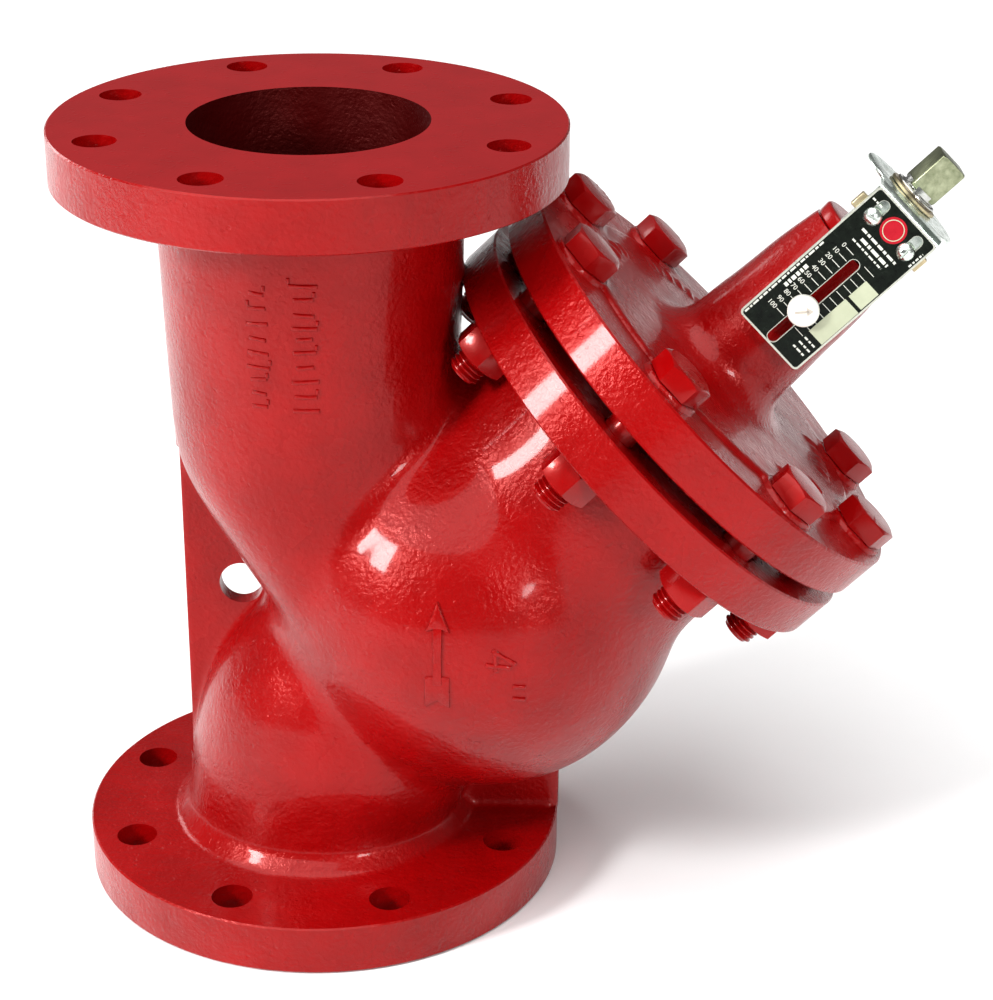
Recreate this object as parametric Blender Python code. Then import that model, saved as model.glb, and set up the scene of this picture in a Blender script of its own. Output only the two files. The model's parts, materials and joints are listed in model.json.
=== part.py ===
"""Four-inch flanged straight-pattern valve: spring-loaded check disc, adjustable lift stop and shut-off.

The body is a Y-pattern casting.  Its pipe axis is vertical and its cover axis leans 45 degrees in the
XZ plane.  Lengths are in millimetres here and are scaled to metres when a mesh is written.
"""
import math

import bmesh
import bpy
from mathutils import Matrix, Vector

MM = 0.001
GAP = 0.3                                   # clearance left between touching pieces
TURN = 2.0 * math.pi

# ---------------------------------------------------------------- driving dimensions
FLANGE_R = 114.3                            # pipe flange, 4 in class 125
FLANGE_T = 23.8
BOLT_CIRCLE_R = 95.25
FLANGE_HOLE_R = 9.55
PIPE_HOLES = 8
HEIGHT = 368.3                              # face to face
BORE_R = 53.6
WALL = 9.0
TILT = math.radians(45.0)                   # cover axis from the pipe axis
WEB_HALF = 4.0                              # half thickness of the two ribs
WEB_OPENING_R = 10.3
AXIS_Z = 71.0                               # where the cover axis crosses the pipe axis

COVER_R = 113.7                             # both cover flanges
COVER_BOLT_R = 96.5
COVER_BOLTS = 8
BODY_FLANGE_BACK = 208.6                    # stations along the cover axis from the crossing point
BODY_FLANGE_FACE = 229.1
COVER_BACK = 236.8
COVER_FRONT = 257.9
PLATEAU = 259.8
PAD_TOP = PLATEAU + 0.2                     # machined pads under the bolt heads
PLATEAU_R = 88.0
OPENING_R = 68.0
GASKET_R = 80.0
BOSS_END = 205.0                            # spring boss inside the cover

SEAT_BOTTOM = 23.0
SEAT_TOP = 35.0
SEAT_R = 44.0
SEAT_POCKET_R = 52.5
WAIST = 28.0                                # plane of the narrowest outside section, at the seat
WAIST_R = 68.0
WAIST_SHIFT = 3.0                           # the neck sections sit this far off the cover axis, away from the rib

LIFT_FULL = 40.0                            # stem travel from closed to fully open
OPEN_SHARE = 0.62                           # opening at rest
LIFT_REST = LIFT_FULL * OPEN_SHARE

STEM_R = 12.0
TOWER_TOP = 340.8
NUT_TOP = 347.7
DISC_R = 50.0                               # check disc
DISC_PLATE_BOTTOM = 372.9                   # indicator bracket disc
DISC_PLATE_T = 2.0
BRACKET_R = 26.6
INDICATOR_ROLL = math.radians(-9.4)         # bracket turned about the stem
PLATE_FRONT = 36.0                          # nameplate face from the stem axis
PLATE_T = 1.0
TAB_T = 2.0
PLATE_HALF_W = 18.2
PLATE_LOW = 290.9
PLATE_HIGH = 372.7
SCALE_SLOT_LOW = 292.0
SCALE_SLOT_HIGH = 343.6
POINTER_STATION = 312.2
SCREW_STATION = 361.2
SCREW_OFFSET = 10.5
SQUARE_BOTTOM = 379.4
SQUARE_TOP = 398.6
SQUARE_HALF = 7.1
SQUARE_CHAMFER = 1.2
SQUARE_ROLL = math.radians(3.0)

HEX_HALF = 11.9                             # half across flats of the 5/8 in bolts and nuts
BOLT_R = 7.9
HEAD_H = 9.8
NUT_H = 13.6
THREAD_END = 9.6                            # thread standing out of each nut

ROUND = 32                                  # facets on large round forms
FINE = 24
SMALL = 12


def stem_reach():
    """Farthest point of the square end along +X, measured from the pipe axis."""
    corner = SQUARE_HALF * math.sqrt(2.0) * math.cos(TURN / 8.0 - abs(SQUARE_ROLL))
    return (SQUARE_TOP - SQUARE_CHAMFER) * math.sin(TILT) + corner * math.cos(TILT)


PIPE_X = -(stem_reach() - FLANGE_R) / 2.0   # centres the whole part on the origin

# ---------------------------------------------------------------- scene bookkeeping
for old in list(bpy.data.objects):
    bpy.data.objects.remove(old, do_unlink=True)

PARTS = bpy.data.collections.new("flanged_check_balance_valve")
CUTTERS = bpy.data.collections.new("cutters")
for group in (PARTS, CUTTERS):
    bpy.context.scene.collection.children.link(group)

MATERIALS = {}


def material(name, colour, metallic, roughness):
    """Make or reuse a plain Principled material."""
    if name not in MATERIALS:
        made = bpy.data.materials.new(name)
        made.use_nodes = True
        shader = made.node_tree.nodes["Principled BSDF"]
        shader.inputs["Base Color"].default_value = (*colour, 1.0)
        shader.inputs["Metallic"].default_value = metallic
        shader.inputs["Roughness"].default_value = roughness
        made.diffuse_color = (*colour, 1.0)
        MATERIALS[name] = made
    return MATERIALS[name]


PAINT = ("red_enamel", (0.48, 0.005, 0.008), 0.0, 0.3)
ZINC = ("zinc_plate", (0.75, 0.77, 0.74), 1.0, 0.3)
BRASS = ("brass", (0.62, 0.46, 0.22), 1.0, 0.35)
BRONZE = ("bronze", (0.52, 0.33, 0.16), 1.0, 0.4)
STEEL = ("stainless", (0.6, 0.6, 0.58), 1.0, 0.3)
RUBBER = ("rubber", (0.02, 0.02, 0.02), 0.0, 0.7)
GASKET = ("gasket_fibre", (0.07, 0.08, 0.07), 0.0, 0.85)
PLATE_INK = ("black_plate", (0.01, 0.01, 0.01), 0.0, 0.35)
WHITE = ("white_plastic", (0.85, 0.85, 0.82), 0.0, 0.4)

PIPE_FRAME = Matrix.Translation((PIPE_X * MM, 0.0, 0.0))
COVER_FRAME = PIPE_FRAME @ Matrix.Translation((0.0, 0.0, AXIS_Z * MM)) @ Matrix.Rotation(TILT, 4, "Y")
INDICATOR_FRAME = COVER_FRAME @ Matrix.Rotation(INDICATOR_ROLL, 4, "Z")


def joint_empty(name, frame):
    """Empty on a joint axis, with its Z along that axis."""
    empty = bpy.data.objects.new(name, None)
    empty.empty_display_size = 0.03
    empty.matrix_world = frame
    PARTS.objects.link(empty)
    return empty


PIPE_AXIS = joint_empty("pipe_axis", PIPE_FRAME)
COVER_AXIS = joint_empty("cover_axis", COVER_FRAME)
INDICATOR_AXIS = joint_empty("indicator_axis", INDICATOR_FRAME)


def finish(name, shape, look, parent, sharp=35.0):
    """Turn a bmesh (millimetres, in the parent's frame) into a named part."""
    bmesh.ops.remove_doubles(shape, verts=shape.verts, dist=0.0005)
    bmesh.ops.recalc_face_normals(shape, faces=shape.faces)
    bmesh.ops.scale(shape, vec=(MM, MM, MM), verts=shape.verts)
    mesh = bpy.data.meshes.new(name)
    shape.to_mesh(mesh)
    shape.free()
    part = bpy.data.objects.new(name, mesh)
    if look is None:
        CUTTERS.objects.link(part)
        part.hide_render = True
        part.display_type = "WIRE"
    else:
        PARTS.objects.link(part)
        mesh.materials.append(material(*look))
    part.parent = parent
    mesh.shade_smooth()
    mesh.set_sharp_from_angle(angle=math.radians(sharp))
    return part


def combine(part, others, operation="DIFFERENCE", solver="EXACT"):
    """Add one Boolean per tool; the castings need the manifold solver, which the exact one leaves open."""
    for other in others:
        step = part.modifiers.new(operation.lower(), "BOOLEAN")
        step.operation = operation
        step.solver = solver
        step.object = other


# ---------------------------------------------------------------- shape builders
def ring_points(centre, tilt, radius, facets, turn=0.0):
    """Circle of points about a centre, in a plane tilted about Y."""
    spin = Matrix.Rotation(tilt, 3, "Y")
    points = []
    for index in range(facets):
        angle = TURN * index / facets + turn
        points.append(Vector(centre) + spin @ Vector((radius * math.cos(angle), radius * math.sin(angle), 0.0)))
    return points


def skin(shape, rings):
    """Join successive rings with quads and close both ends."""
    rows = [[shape.verts.new(point) for point in ring] for ring in rings]
    count = len(rows[0])
    for low, high in zip(rows, rows[1:]):
        for index in range(count):
            after = (index + 1) % count
            shape.faces.new((low[index], low[after], high[after], high[index]))
    shape.faces.new(list(reversed(rows[0])))
    shape.faces.new(rows[-1])


def loft(sections, facets=ROUND, step_share=0.5):
    """Solid through circular sections given as (x, z, tilt in degrees, radius)."""
    shape = bmesh.new()
    turn = step_share * TURN / facets
    skin(shape, [ring_points((x, 0.0, z), math.radians(tilt), radius, facets, turn)
                 for x, z, tilt, radius in sections])
    return shape


def turned(outline, facets=FINE, shape=None, centre=(0.0, 0.0), turn=0.0):
    """Solid of revolution about Z from a closed outline of (radius, height) points."""
    shape = shape or bmesh.new()
    rows = []
    for radius, height in outline:
        if radius < 1e-6:
            rows.append([shape.verts.new((centre[0], centre[1], height))])
            continue
        row = []
        for index in range(facets):
            angle = TURN * index / facets + turn
            point = (centre[0] + radius * math.cos(angle), centre[1] + radius * math.sin(angle), height)
            row.append(shape.verts.new(point))
        rows.append(row)
    for here, there in zip(rows, rows[1:] + rows[:1]):
        if len(here) == 1 and len(there) == 1:
            continue
        for index in range(facets):
            after = (index + 1) % facets
            corners = [here[index % len(here)], here[after % len(here)]]
            corners += [there[after % len(there)], there[index % len(there)]]
            shape.faces.new(list(dict.fromkeys(corners)))
    return shape


def rod(radius, low, high, facets=SMALL, centre=(0.0, 0.0), turn=0.0, shape=None):
    """Cylinder along Z."""
    outline = [(0.0, low), (radius, low), (radius, high), (0.0, high)]
    return turned(outline, facets, shape, centre, turn)


def ring(inner, outer, low, high, edge=0.0, facets=FINE):
    """Flat ring along Z with an optional chamfer on its outer edges."""
    outline = [(inner, low), (outer - edge, low)]
    if edge > 0.0:
        outline += [(outer, low + edge), (outer, high - edge)]
        outline.append((outer - edge, high))
    else:
        outline = [(inner, low), (outer, low), (outer, high)]
    outline.append((inner, high))
    return turned(outline, facets)


def box(low, high, shape=None):
    """Axis-aligned block between two corners."""
    shape = shape or bmesh.new()
    size = [b - a for a, b in zip(low, high)]
    middle = [(a + b) / 2.0 for a, b in zip(low, high)]
    place = Matrix.Translation(middle) @ Matrix.Diagonal((*size, 1.0))
    bmesh.ops.create_cube(shape, size=1.0, matrix=place)
    return shape


def slotted(half_width, low, high, front, back, facets=12):
    """Round-ended bar along Z whose thickness runs along Y, for cutting slots."""
    points = []
    for index in range(facets + 1):
        angle = math.pi * index / facets
        points.append((half_width * math.cos(angle), high - half_width + half_width * math.sin(angle)))
    for index in range(facets + 1):
        angle = math.pi + math.pi * index / facets
        points.append((half_width * math.cos(angle), low + half_width + half_width * math.sin(angle)))
    shape = bmesh.new()
    skin(shape, [[Vector((x, y, z)) for x, z in points] for y in (front, back)])
    return shape


def shifted(shape, offset):
    """Move every vertex of a shape."""
    bmesh.ops.translate(shape, vec=offset, verts=shape.verts)
    return shape


def rolled(shape, angle, axis="Z", centre=(0.0, 0.0, 0.0)):
    """Turn a shape about an axis through a centre."""
    bmesh.ops.rotate(shape, verts=shape.verts, cent=centre, matrix=Matrix.Rotation(angle, 3, axis))
    return shape


def tool(name, shape, parent):
    """Hidden cutter or add-on used by a Boolean."""
    return finish(name, shape, None, parent)


def arc(centre_r, centre_z, radius, start, end, steps):
    """Points of a circular arc in the (radius, height) half-plane, angles in degrees."""
    points = []
    for index in range(steps + 1):
        angle = math.radians(start + (end - start) * index / steps)
        points.append((centre_r + radius * math.cos(angle), centre_z + radius * math.sin(angle)))
    return points


# ---------------------------------------------------------------- body casting
def waist_section(beyond, radius, shift=WAIST_SHIFT):
    """Circular section square to the cover axis, at or just beyond the seat plane."""
    station = WAIST + beyond
    x = station * math.sin(TILT) + shift * math.cos(TILT)
    z = AXIS_Z + station * math.cos(TILT) - shift * math.sin(TILT)
    return (x, z, math.degrees(TILT), radius)


def pipe_flange(low, high):
    """Round flange plate."""
    return turned([(0.0, low), (FLANGE_R, low), (FLANGE_R, high), (0.0, high)], ROUND)


def hole_ring(radius, pitch_radius, count, low, high, facets):
    """Ring of straight drills whose holes straddle the centre lines."""
    shape = bmesh.new()
    for index in range(count):
        angle = TURN * (index + 0.5) / count
        centre = (pitch_radius * math.cos(angle), pitch_radius * math.sin(angle))
        rod(radius, low, high, facets, centre, shape=shape)
    return shape


def lower_neck():
    """Inlet neck: flange fillet, then a bend that leans over to the seat plane."""
    base = [(0.0, 10.0, 0.0, 74.5), (0.0, 21.0, 0.0, 74.5), (0.0, 27.0, 0.0, 68.5), (0.0, 32.0, 1.0, 65.2)]
    bend = [(0.7, 40.5, 7.0, 64.2), (3.5, 55.5, 18.0, 66.2), (10.6, 71.5, 30.0, 69.0)]
    return loft(base + bend + [waist_section(0.0, WAIST_R), waist_section(6.0, WAIST_R - 8.0)], ROUND, 0.25)


def upper_neck():
    """Outlet neck: straight below the top flange, then bent towards the seat plane."""
    bend = [waist_section(0.7, WAIST_R - 7.5, 4.5), (20.2, 118.2, 38.0, 59.4), (17.2, 137.0, 30.0, 61.6),
            (5.3, 183.4, 15.0, 64.0), (0.0, 221.0, 0.0, 63.8)]
    top = HEIGHT - FLANGE_T
    neck = [(0.0, 260.0, 0.0, 65.6), (0.0, 310.0, 0.0, 67.2), (0.0, top - 5.0, 0.0, 68.4),
            (0.0, top + 2.0, 0.0, 72.5), (0.0, top + 10.0, 0.0, 72.5)]
    return loft(bend + neck)


CHAMBER = [(WAIST, 60.0), (45.0, 75.0), (64.0, 87.5), (84.0, 94.8), (104.0, 96.9), (124.0, 94.7),
           (141.0, 89.8), (154.0, 83.2), (166.0, 79.3), (202.0, 79.0), (BODY_FLANGE_BACK, 82.0)]


def chamber_outline(inset):
    """Outside of the valve chamber, pulled in by a wall thickness."""
    return [(radius - inset, station) for station, radius in CHAMBER]


def chamber_outer():
    """Bulbous chamber about the cover axis with its bolting flange."""
    start = WAIST - 1.3
    outline = [(0.0, start), (59.0, start)] + chamber_outline(0.0)
    outline += [(COVER_R, BODY_FLANGE_BACK), (COVER_R, BODY_FLANGE_FACE), (0.0, BODY_FLANGE_FACE)]
    return turned(outline, ROUND)


def chamber_inner():
    """Space in which the disc lifts, open at the cover."""
    outline = [(0.0, SEAT_TOP - 2.0), (SEAT_POCKET_R - 1.0, SEAT_TOP - 2.0)]
    outline += [(radius, station) for radius, station in chamber_outline(WALL)
                if SEAT_TOP < station < 190.0]
    outline += [(OPENING_R, 190.0), (OPENING_R, BODY_FLANGE_FACE + 5.0), (0.0, BODY_FLANGE_FACE + 5.0)]
    return turned(outline, ROUND)


def outlet_passage():
    """Inside of the upper neck, from the chamber up to the outlet face."""
    return loft([(25.5, 93.5, 45.0, 50.0), (16.0, 135.7, 30.0, 52.0), (6.3, 181.4, 15.0, 55.0),
                 (0.0, 221.0, 0.0, 54.6), (0.0, 260.0, 0.0, BORE_R), (0.0, HEIGHT + 5.0, 0.0, BORE_R)])


def inlet_passage():
    """Inside of the lower neck, from the inlet face to the seat."""
    seat = waist_section(1.0, SEAT_R, 0.0)
    return loft([(0.0, -5.0, 0.0, BORE_R), (0.0, 30.0, 0.0, BORE_R), (2.4, 46.0, 14.0, 53.6),
                 (5.6, 64.0, 30.0, 52.5), (15.0, 80.0, 45.0, 47.0), seat])


def left_web():
    """Thin rib flush with the outlet neck, with its round opening."""
    shape = box((-63.3, -WEB_HALF, 52.0), (0.0, WEB_HALF, 232.0))
    web = tool("tool_left_web", shape, PIPE_AXIS)
    opening = rolled(rod(WEB_OPENING_R, -20.0, 20.0, 24), TURN / 4.0, "X")
    combine(web, [tool("tool_web_opening", shifted(opening, (-37.0, 0.0, 143.9)), PIPE_AXIS)])
    return web


def right_web():
    """Thin rib between the inlet flange and the underside of the chamber."""
    return box((40.0, -WEB_HALF, 15.0), (113.3, WEB_HALF, 70.0))


def build_body():
    """One casting: two necks, chamber, three flanges and two ribs, then its passages."""
    body = finish("body", lower_neck(), PAINT, PIPE_AXIS)
    adds = [tool("tool_chamber", chamber_outer(), COVER_AXIS),
            tool("tool_upper_neck", upper_neck(), PIPE_AXIS),
            tool("tool_inlet_flange", pipe_flange(0.0, FLANGE_T), PIPE_AXIS),
            tool("tool_outlet_flange", pipe_flange(HEIGHT - FLANGE_T, HEIGHT), PIPE_AXIS),
            left_web(),
            tool("tool_right_web", right_web(), PIPE_AXIS)]
    combine(body, adds, "UNION", "MANIFOLD")
    drills = hole_ring(FLANGE_HOLE_R, BOLT_CIRCLE_R, PIPE_HOLES, -5.0, FLANGE_T + 3.0, SMALL)
    drills_top = hole_ring(FLANGE_HOLE_R, BOLT_CIRCLE_R, PIPE_HOLES, HEIGHT - FLANGE_T - 3.0, HEIGHT + 5.0, SMALL)
    cover_drills = hole_ring(BOLT_R + 0.8, COVER_BOLT_R, COVER_BOLTS, BODY_FLANGE_BACK - 3.0, BODY_FLANGE_FACE + 3.0,
                             SMALL)
    pocket = turned([(0.0, SEAT_BOTTOM), (SEAT_POCKET_R, SEAT_BOTTOM), (SEAT_POCKET_R, SEAT_TOP + 3.0),
                     (0.0, SEAT_TOP + 3.0)], ROUND)
    cuts = [tool("tool_chamber_inside", chamber_inner(), COVER_AXIS),
            tool("tool_outlet_passage", outlet_passage(), PIPE_AXIS),
            tool("tool_inlet_passage", inlet_passage(), PIPE_AXIS),
            tool("tool_seat_pocket", pocket, COVER_AXIS),
            tool("tool_inlet_holes", drills, PIPE_AXIS),
            tool("tool_outlet_holes", drills_top, PIPE_AXIS),
            tool("tool_cover_holes", cover_drills, COVER_AXIS)]
    combine(body, cuts, solver="MANIFOLD")
    return body


# ---------------------------------------------------------------- cover casting
def build_cover():
    """Bolted cover with its raised plateau, dome fillet and hollow tower for the stem."""
    spigot = BODY_FLANGE_FACE + 2.0
    dome = arc(42.5, PLATEAU + 14.0, 14.0, 270.0, 184.0, 5)
    bore = [(18.1, 262.0), (13.0, 262.0), (13.0, 214.0), (18.0, BOSS_END), (27.5, BOSS_END), (31.0, 222.0)]
    flange = [(60.0, 224.0), (60.0, spigot), (GASKET_R, spigot), (GASKET_R, COVER_BACK), (COVER_R, COVER_BACK),
              (COVER_R, COVER_FRONT), (PLATEAU_R, COVER_FRONT), (PLATEAU_R - 1.5, PLATEAU)]
    tower = [(26.6, 300.0), (25.6, 320.0), (23.2, TOWER_TOP - 1.0), (22.6, TOWER_TOP), (18.1, TOWER_TOP)]
    outline = bore + flange + dome + tower
    cover = finish("cover", turned(outline, ROUND), PAINT, COVER_AXIS)
    pads = hole_ring(15.0, COVER_BOLT_R, COVER_BOLTS, COVER_FRONT - 2.0, PAD_TOP, SMALL)
    drills = hole_ring(BOLT_R + 0.8, COVER_BOLT_R, COVER_BOLTS, COVER_BACK - 3.0, PLATEAU + 3.0, SMALL)
    pin_hole = rolled(rod(2.2, 10.0, 40.0, 12), TURN / 4.0, "X")
    shifted(pin_hole, (0.0, 0.0, POINTER_STATION))
    combine(cover, [tool("tool_bolt_pads", pads, COVER_AXIS)], "UNION", "MANIFOLD")
    combine(cover, [tool("tool_cover_drills", drills, COVER_AXIS),
                    tool("tool_pointer_tap", pin_hole, INDICATOR_AXIS)], solver="MANIFOLD")
    return cover


def build_packing_nut():
    """Painted nut that closes the tower and holds the packing."""
    bore = STEM_R + GAP
    outline = [(bore, 331.0), (17.8, 331.0), (17.8, TOWER_TOP + GAP), (21.4, TOWER_TOP + GAP), (22.6, TOWER_TOP + 1.4),
               (22.6, NUT_TOP - 1.2), (21.4, NUT_TOP), (bore, NUT_TOP)]
    return finish("packing_nut", turned(outline, FINE), PAINT, COVER_AXIS)


def build_stem_bush():
    """Threaded bronze bush fixed in the tower."""
    outline = [(STEM_R + GAP, 262.0 + GAP), (17.8, 262.0 + GAP), (17.8, 316.0), (STEM_R + GAP, 316.0)]
    return finish("stem_bush", turned(outline, FINE), BRONZE, COVER_AXIS)


def build_packing():
    """Two O-rings and the spacer ring between them."""
    made = []
    for name, low in (("stem_oring_lower", 316.4), ("stem_oring_upper", 325.2)):
        outline = arc(15.05, low + 2.7, 2.6, 0.0, 315.0, 7)
        made.append(finish(name, turned(outline, FINE), RUBBER, COVER_AXIS, 80.0))
    made.append(finish("oring_spacer", ring(STEM_R + GAP, 17.8, 322.1, 324.9, 0.0, FINE), BRASS, COVER_AXIS))
    return made


def build_gasket():
    """Fibre gasket between the body face and the cover spigot."""
    low = BODY_FLANGE_FACE + GAP
    high = BODY_FLANGE_FACE + 2.0 - GAP
    return finish("cover_gasket", ring(OPENING_R, GASKET_R, low, high, 0.0, ROUND), GASKET, COVER_AXIS)


# ---------------------------------------------------------------- seat, check disc and spring
def build_seat_ring():
    """Bronze seat ring screwed into the body wall."""
    outline = [(SEAT_R, SEAT_BOTTOM + GAP), (SEAT_POCKET_R - GAP, SEAT_BOTTOM + GAP), (SEAT_POCKET_R - GAP, 33.5),
               (SEAT_POCKET_R - 2.5, SEAT_TOP), (SEAT_R + 1.0, SEAT_TOP), (SEAT_R, SEAT_TOP - 1.0)]
    return finish("seat_ring", turned(outline, ROUND), BRONZE, COVER_AXIS)


def disc_station(closed_station):
    """Station of a disc feature at rest, given its station with the valve closed."""
    return closed_station + LIFT_REST


HUB_TOP = 78.0                              # closed station of the top of the disc hub
SEAL_T = 3.2


def build_check_disc():
    """Bronze disc with its socket for the stem tip above and its stud below."""
    low = SEAT_TOP + GAP + SEAL_T + GAP
    outline = [(0.0, 26.0), (5.2, 26.0), (6.0, 27.0), (6.0, low), (DISC_R - 0.5, low), (DISC_R, low + 0.5),
               (DISC_R, low + 6.5), (DISC_R - 1.5, low + 8.0), (28.0, low + 9.5), (19.5, low + 9.5), (18.0, low + 14.0),
               (17.0, HUB_TOP - 1.0), (16.0, HUB_TOP), (8.4, HUB_TOP), (8.4, 56.0), (0.0, 54.0)]
    shape = turned([(radius, disc_station(height)) for radius, height in outline], FINE)
    return finish("check_disc", shape, BRONZE, COVER_AXIS)


def build_disc_seal():
    """Rubber sealing ring clamped under the disc."""
    low = disc_station(SEAT_TOP + GAP)
    return finish("disc_seal", ring(SEAT_R - 2.4, DISC_R - 0.3, low, low + SEAL_T, 0.4, FINE), RUBBER, COVER_AXIS)


def build_seal_retainer():
    """Plate that clamps the seal from below, guided inside the seat ring."""
    top = SEAT_TOP + GAP + SEAL_T
    rim = SEAT_R - 2.7
    outline = [(6.3, top - 8.0), (rim - 5.0, top - 8.0), (rim, top - 5.0), (rim, top), (6.3, top)]
    shape = turned([(radius, disc_station(height)) for radius, height in outline], FINE)
    return finish("seal_retainer", shape, BRONZE, COVER_AXIS)


def hexagon(half_flats, low, high, edge, roll, centre):
    """Solid hexagonal head with a chamfered top."""
    corner = half_flats / math.cos(TURN / 12.0)
    outline = [(0.0, low), (corner, low), (corner, high - edge * 0.6), (corner - edge, high), (0.0, high)]
    return turned(outline, 6, None, centre, roll)


def build_disc_nut():
    """Nut that holds the retainer on the disc stud."""
    high = SEAT_TOP + GAP + SEAL_T - 8.0 - GAP
    shape = bored_hexagon(9.5, disc_station(high - 4.0), disc_station(high), 6.0 + GAP)
    return finish("disc_nut", shape, BRONZE, COVER_AXIS)


def bored_hexagon(half_flats, low, high, bore, roll=0.0, centre=(0.0, 0.0)):
    """Hexagonal nut with chamfered corners and a round bore; every loop has twelve points."""
    shape = bmesh.new()
    count = 12
    corner = half_flats / math.cos(TURN / 12.0)
    across = (corner, half_flats)
    trimmed = (half_flats * 1.02, half_flats)
    round_bore = (bore, bore)
    levels = [(round_bore, low), (trimmed, low), (across, low + 1.2), (across, high - 1.2), (trimmed, high),
              (round_bore, high)]
    rows = []
    for reaches, height in levels:
        row = []
        for index in range(count):
            angle = TURN * index / count + roll
            reach = reaches[index % 2]
            spot = (centre[0] + reach * math.cos(angle), centre[1] + reach * math.sin(angle), height)
            row.append(shape.verts.new(spot))
        rows.append(row)
    for here, there in zip(rows, rows[1:] + rows[:1]):
        for index in range(count):
            after = (index + 1) % count
            shape.faces.new((here[index], here[after], there[after], there[index]))
    return shape


SPRING_R = 23.6
SPRING_WIRE_R = 1.7
SPRING_TURNS = 8.0


def build_spring():
    """Compression spring between the disc and the boss inside the cover."""
    low = disc_station(SEAT_TOP + 13.5) + SPRING_WIRE_R + GAP
    high = BOSS_END - SPRING_WIRE_R - GAP
    steps = 9
    count = int(SPRING_TURNS * steps)
    curve = bpy.data.curves.new("disc_spring_path", "CURVE")
    curve.dimensions = "3D"
    curve.bevel_depth = SPRING_WIRE_R * MM
    curve.bevel_resolution = 1
    curve.use_fill_caps = True
    path = curve.splines.new("POLY")
    path.points.add(count)
    for index in range(count + 1):
        share = index / count
        angle = TURN * SPRING_TURNS * share
        rise = low + (high - low) * share
        spot = (SPRING_R * math.cos(angle) * MM, SPRING_R * math.sin(angle) * MM, rise * MM, 1.0)
        path.points[index].co = spot
    coil = bpy.data.objects.new("disc_spring_path", curve)
    CUTTERS.objects.link(coil)
    coil.hide_render = True
    mesh = bpy.data.meshes.new_from_object(coil)
    bpy.data.objects.remove(coil, do_unlink=True)
    shape = bmesh.new()
    shape.from_mesh(mesh)
    bmesh.ops.scale(shape, vec=(1.0 / MM, 1.0 / MM, 1.0 / MM), verts=shape.verts)
    return finish("disc_spring", shape, STEEL, COVER_AXIS, 80.0)


# ---------------------------------------------------------------- stem and indicator
def build_stem():
    """Rising stem: tip in the disc hub, threaded barrel, shoulder and square drive end."""
    tip = disc_station(HUB_TOP) + GAP
    shoulder = DISC_PLATE_BOTTOM - GAP
    groove = DISC_PLATE_BOTTOM + DISC_PLATE_T + 3.6
    outline = [(0.0, disc_station(60.0)), (7.0, disc_station(60.0)), (8.0, disc_station(61.0)), (8.0, tip),
               (STEM_R - 1.0, tip), (STEM_R, tip + 1.0), (STEM_R, shoulder), (9.4, shoulder), (9.4, groove),
               (8.2, groove + 0.5), (8.2, SQUARE_BOTTOM + 2.0), (0.0, SQUARE_BOTTOM + 2.0)]
    stem = finish("stem", turned(outline, FINE), STEEL, COVER_AXIS)
    corner = SQUARE_HALF * math.sqrt(2.0)
    square = [(0.0, SQUARE_BOTTOM), (corner - 1.0, SQUARE_BOTTOM), (corner, SQUARE_BOTTOM + 1.0),
              (corner, SQUARE_TOP - SQUARE_CHAMFER), (corner - 1.4, SQUARE_TOP), (0.0, SQUARE_TOP)]
    block = turned(square, 4, turn=TURN / 8.0 + SQUARE_ROLL)
    combine(stem, [tool("tool_square", block, COVER_AXIS)], "UNION")
    return stem


def build_retaining_washer():
    """Brass washer and snap ring above the bracket disc."""
    low = DISC_PLATE_BOTTOM + DISC_PLATE_T + GAP
    washer = finish("retaining_washer", ring(9.4 + GAP, 13.0, low, low + 1.6, 0.3, 32), BRASS, COVER_AXIS)
    start = low + 1.6 + GAP
    snap = finish("snap_ring", ring(9.4 + GAP, 11.6, start, start + 1.2, 0.0, 32), STEEL, COVER_AXIS)
    return washer, snap


def build_bracket():
    """Zinc-plated disc on the stem with a folded tab that carries the nameplate."""
    top = DISC_PLATE_BOTTOM + DISC_PLATE_T
    back = PLATE_FRONT - PLATE_T - GAP
    shape = rod(BRACKET_R, DISC_PLATE_BOTTOM, top, FINE)
    bracket = finish("indicator_bracket", shape, ZINC, INDICATOR_AXIS)
    fold = [(-back + 3.2, top), (-back + 1.0, top - 0.5), (-back + 0.2, top - 1.4), (-back, top - 3.2)]
    side = [(-12.0, DISC_PLATE_BOTTOM), (-12.0, top)] + fold
    side += [(-back, 350.0), (-back + TAB_T, 350.0), (-back + TAB_T, DISC_PLATE_BOTTOM)]
    shape = bmesh.new()
    half = PLATE_HALF_W
    skin(shape, [[Vector((x, y, z)) for y, z in side] for x in (-half, half)])
    tab = tool("tool_tab", shape, INDICATOR_AXIS)
    bore = rod(9.4 + GAP, DISC_PLATE_BOTTOM - 5.0, top + 5.0, 32)
    drills = bmesh.new()
    for side_sign in (-1.0, 1.0):
        rod(2.4, 20.0, 45.0, 12, (side_sign * SCREW_OFFSET, SCREW_STATION), shape=drills)
    rolled(drills, TURN / 4.0, "X")
    combine(bracket, [tab], "UNION", "MANIFOLD")
    combine(bracket, [tool("tool_bracket_bore", bore, INDICATOR_AXIS),
                      tool("tool_bracket_drills", drills, INDICATOR_AXIS)], solver="MANIFOLD")
    return bracket


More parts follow.
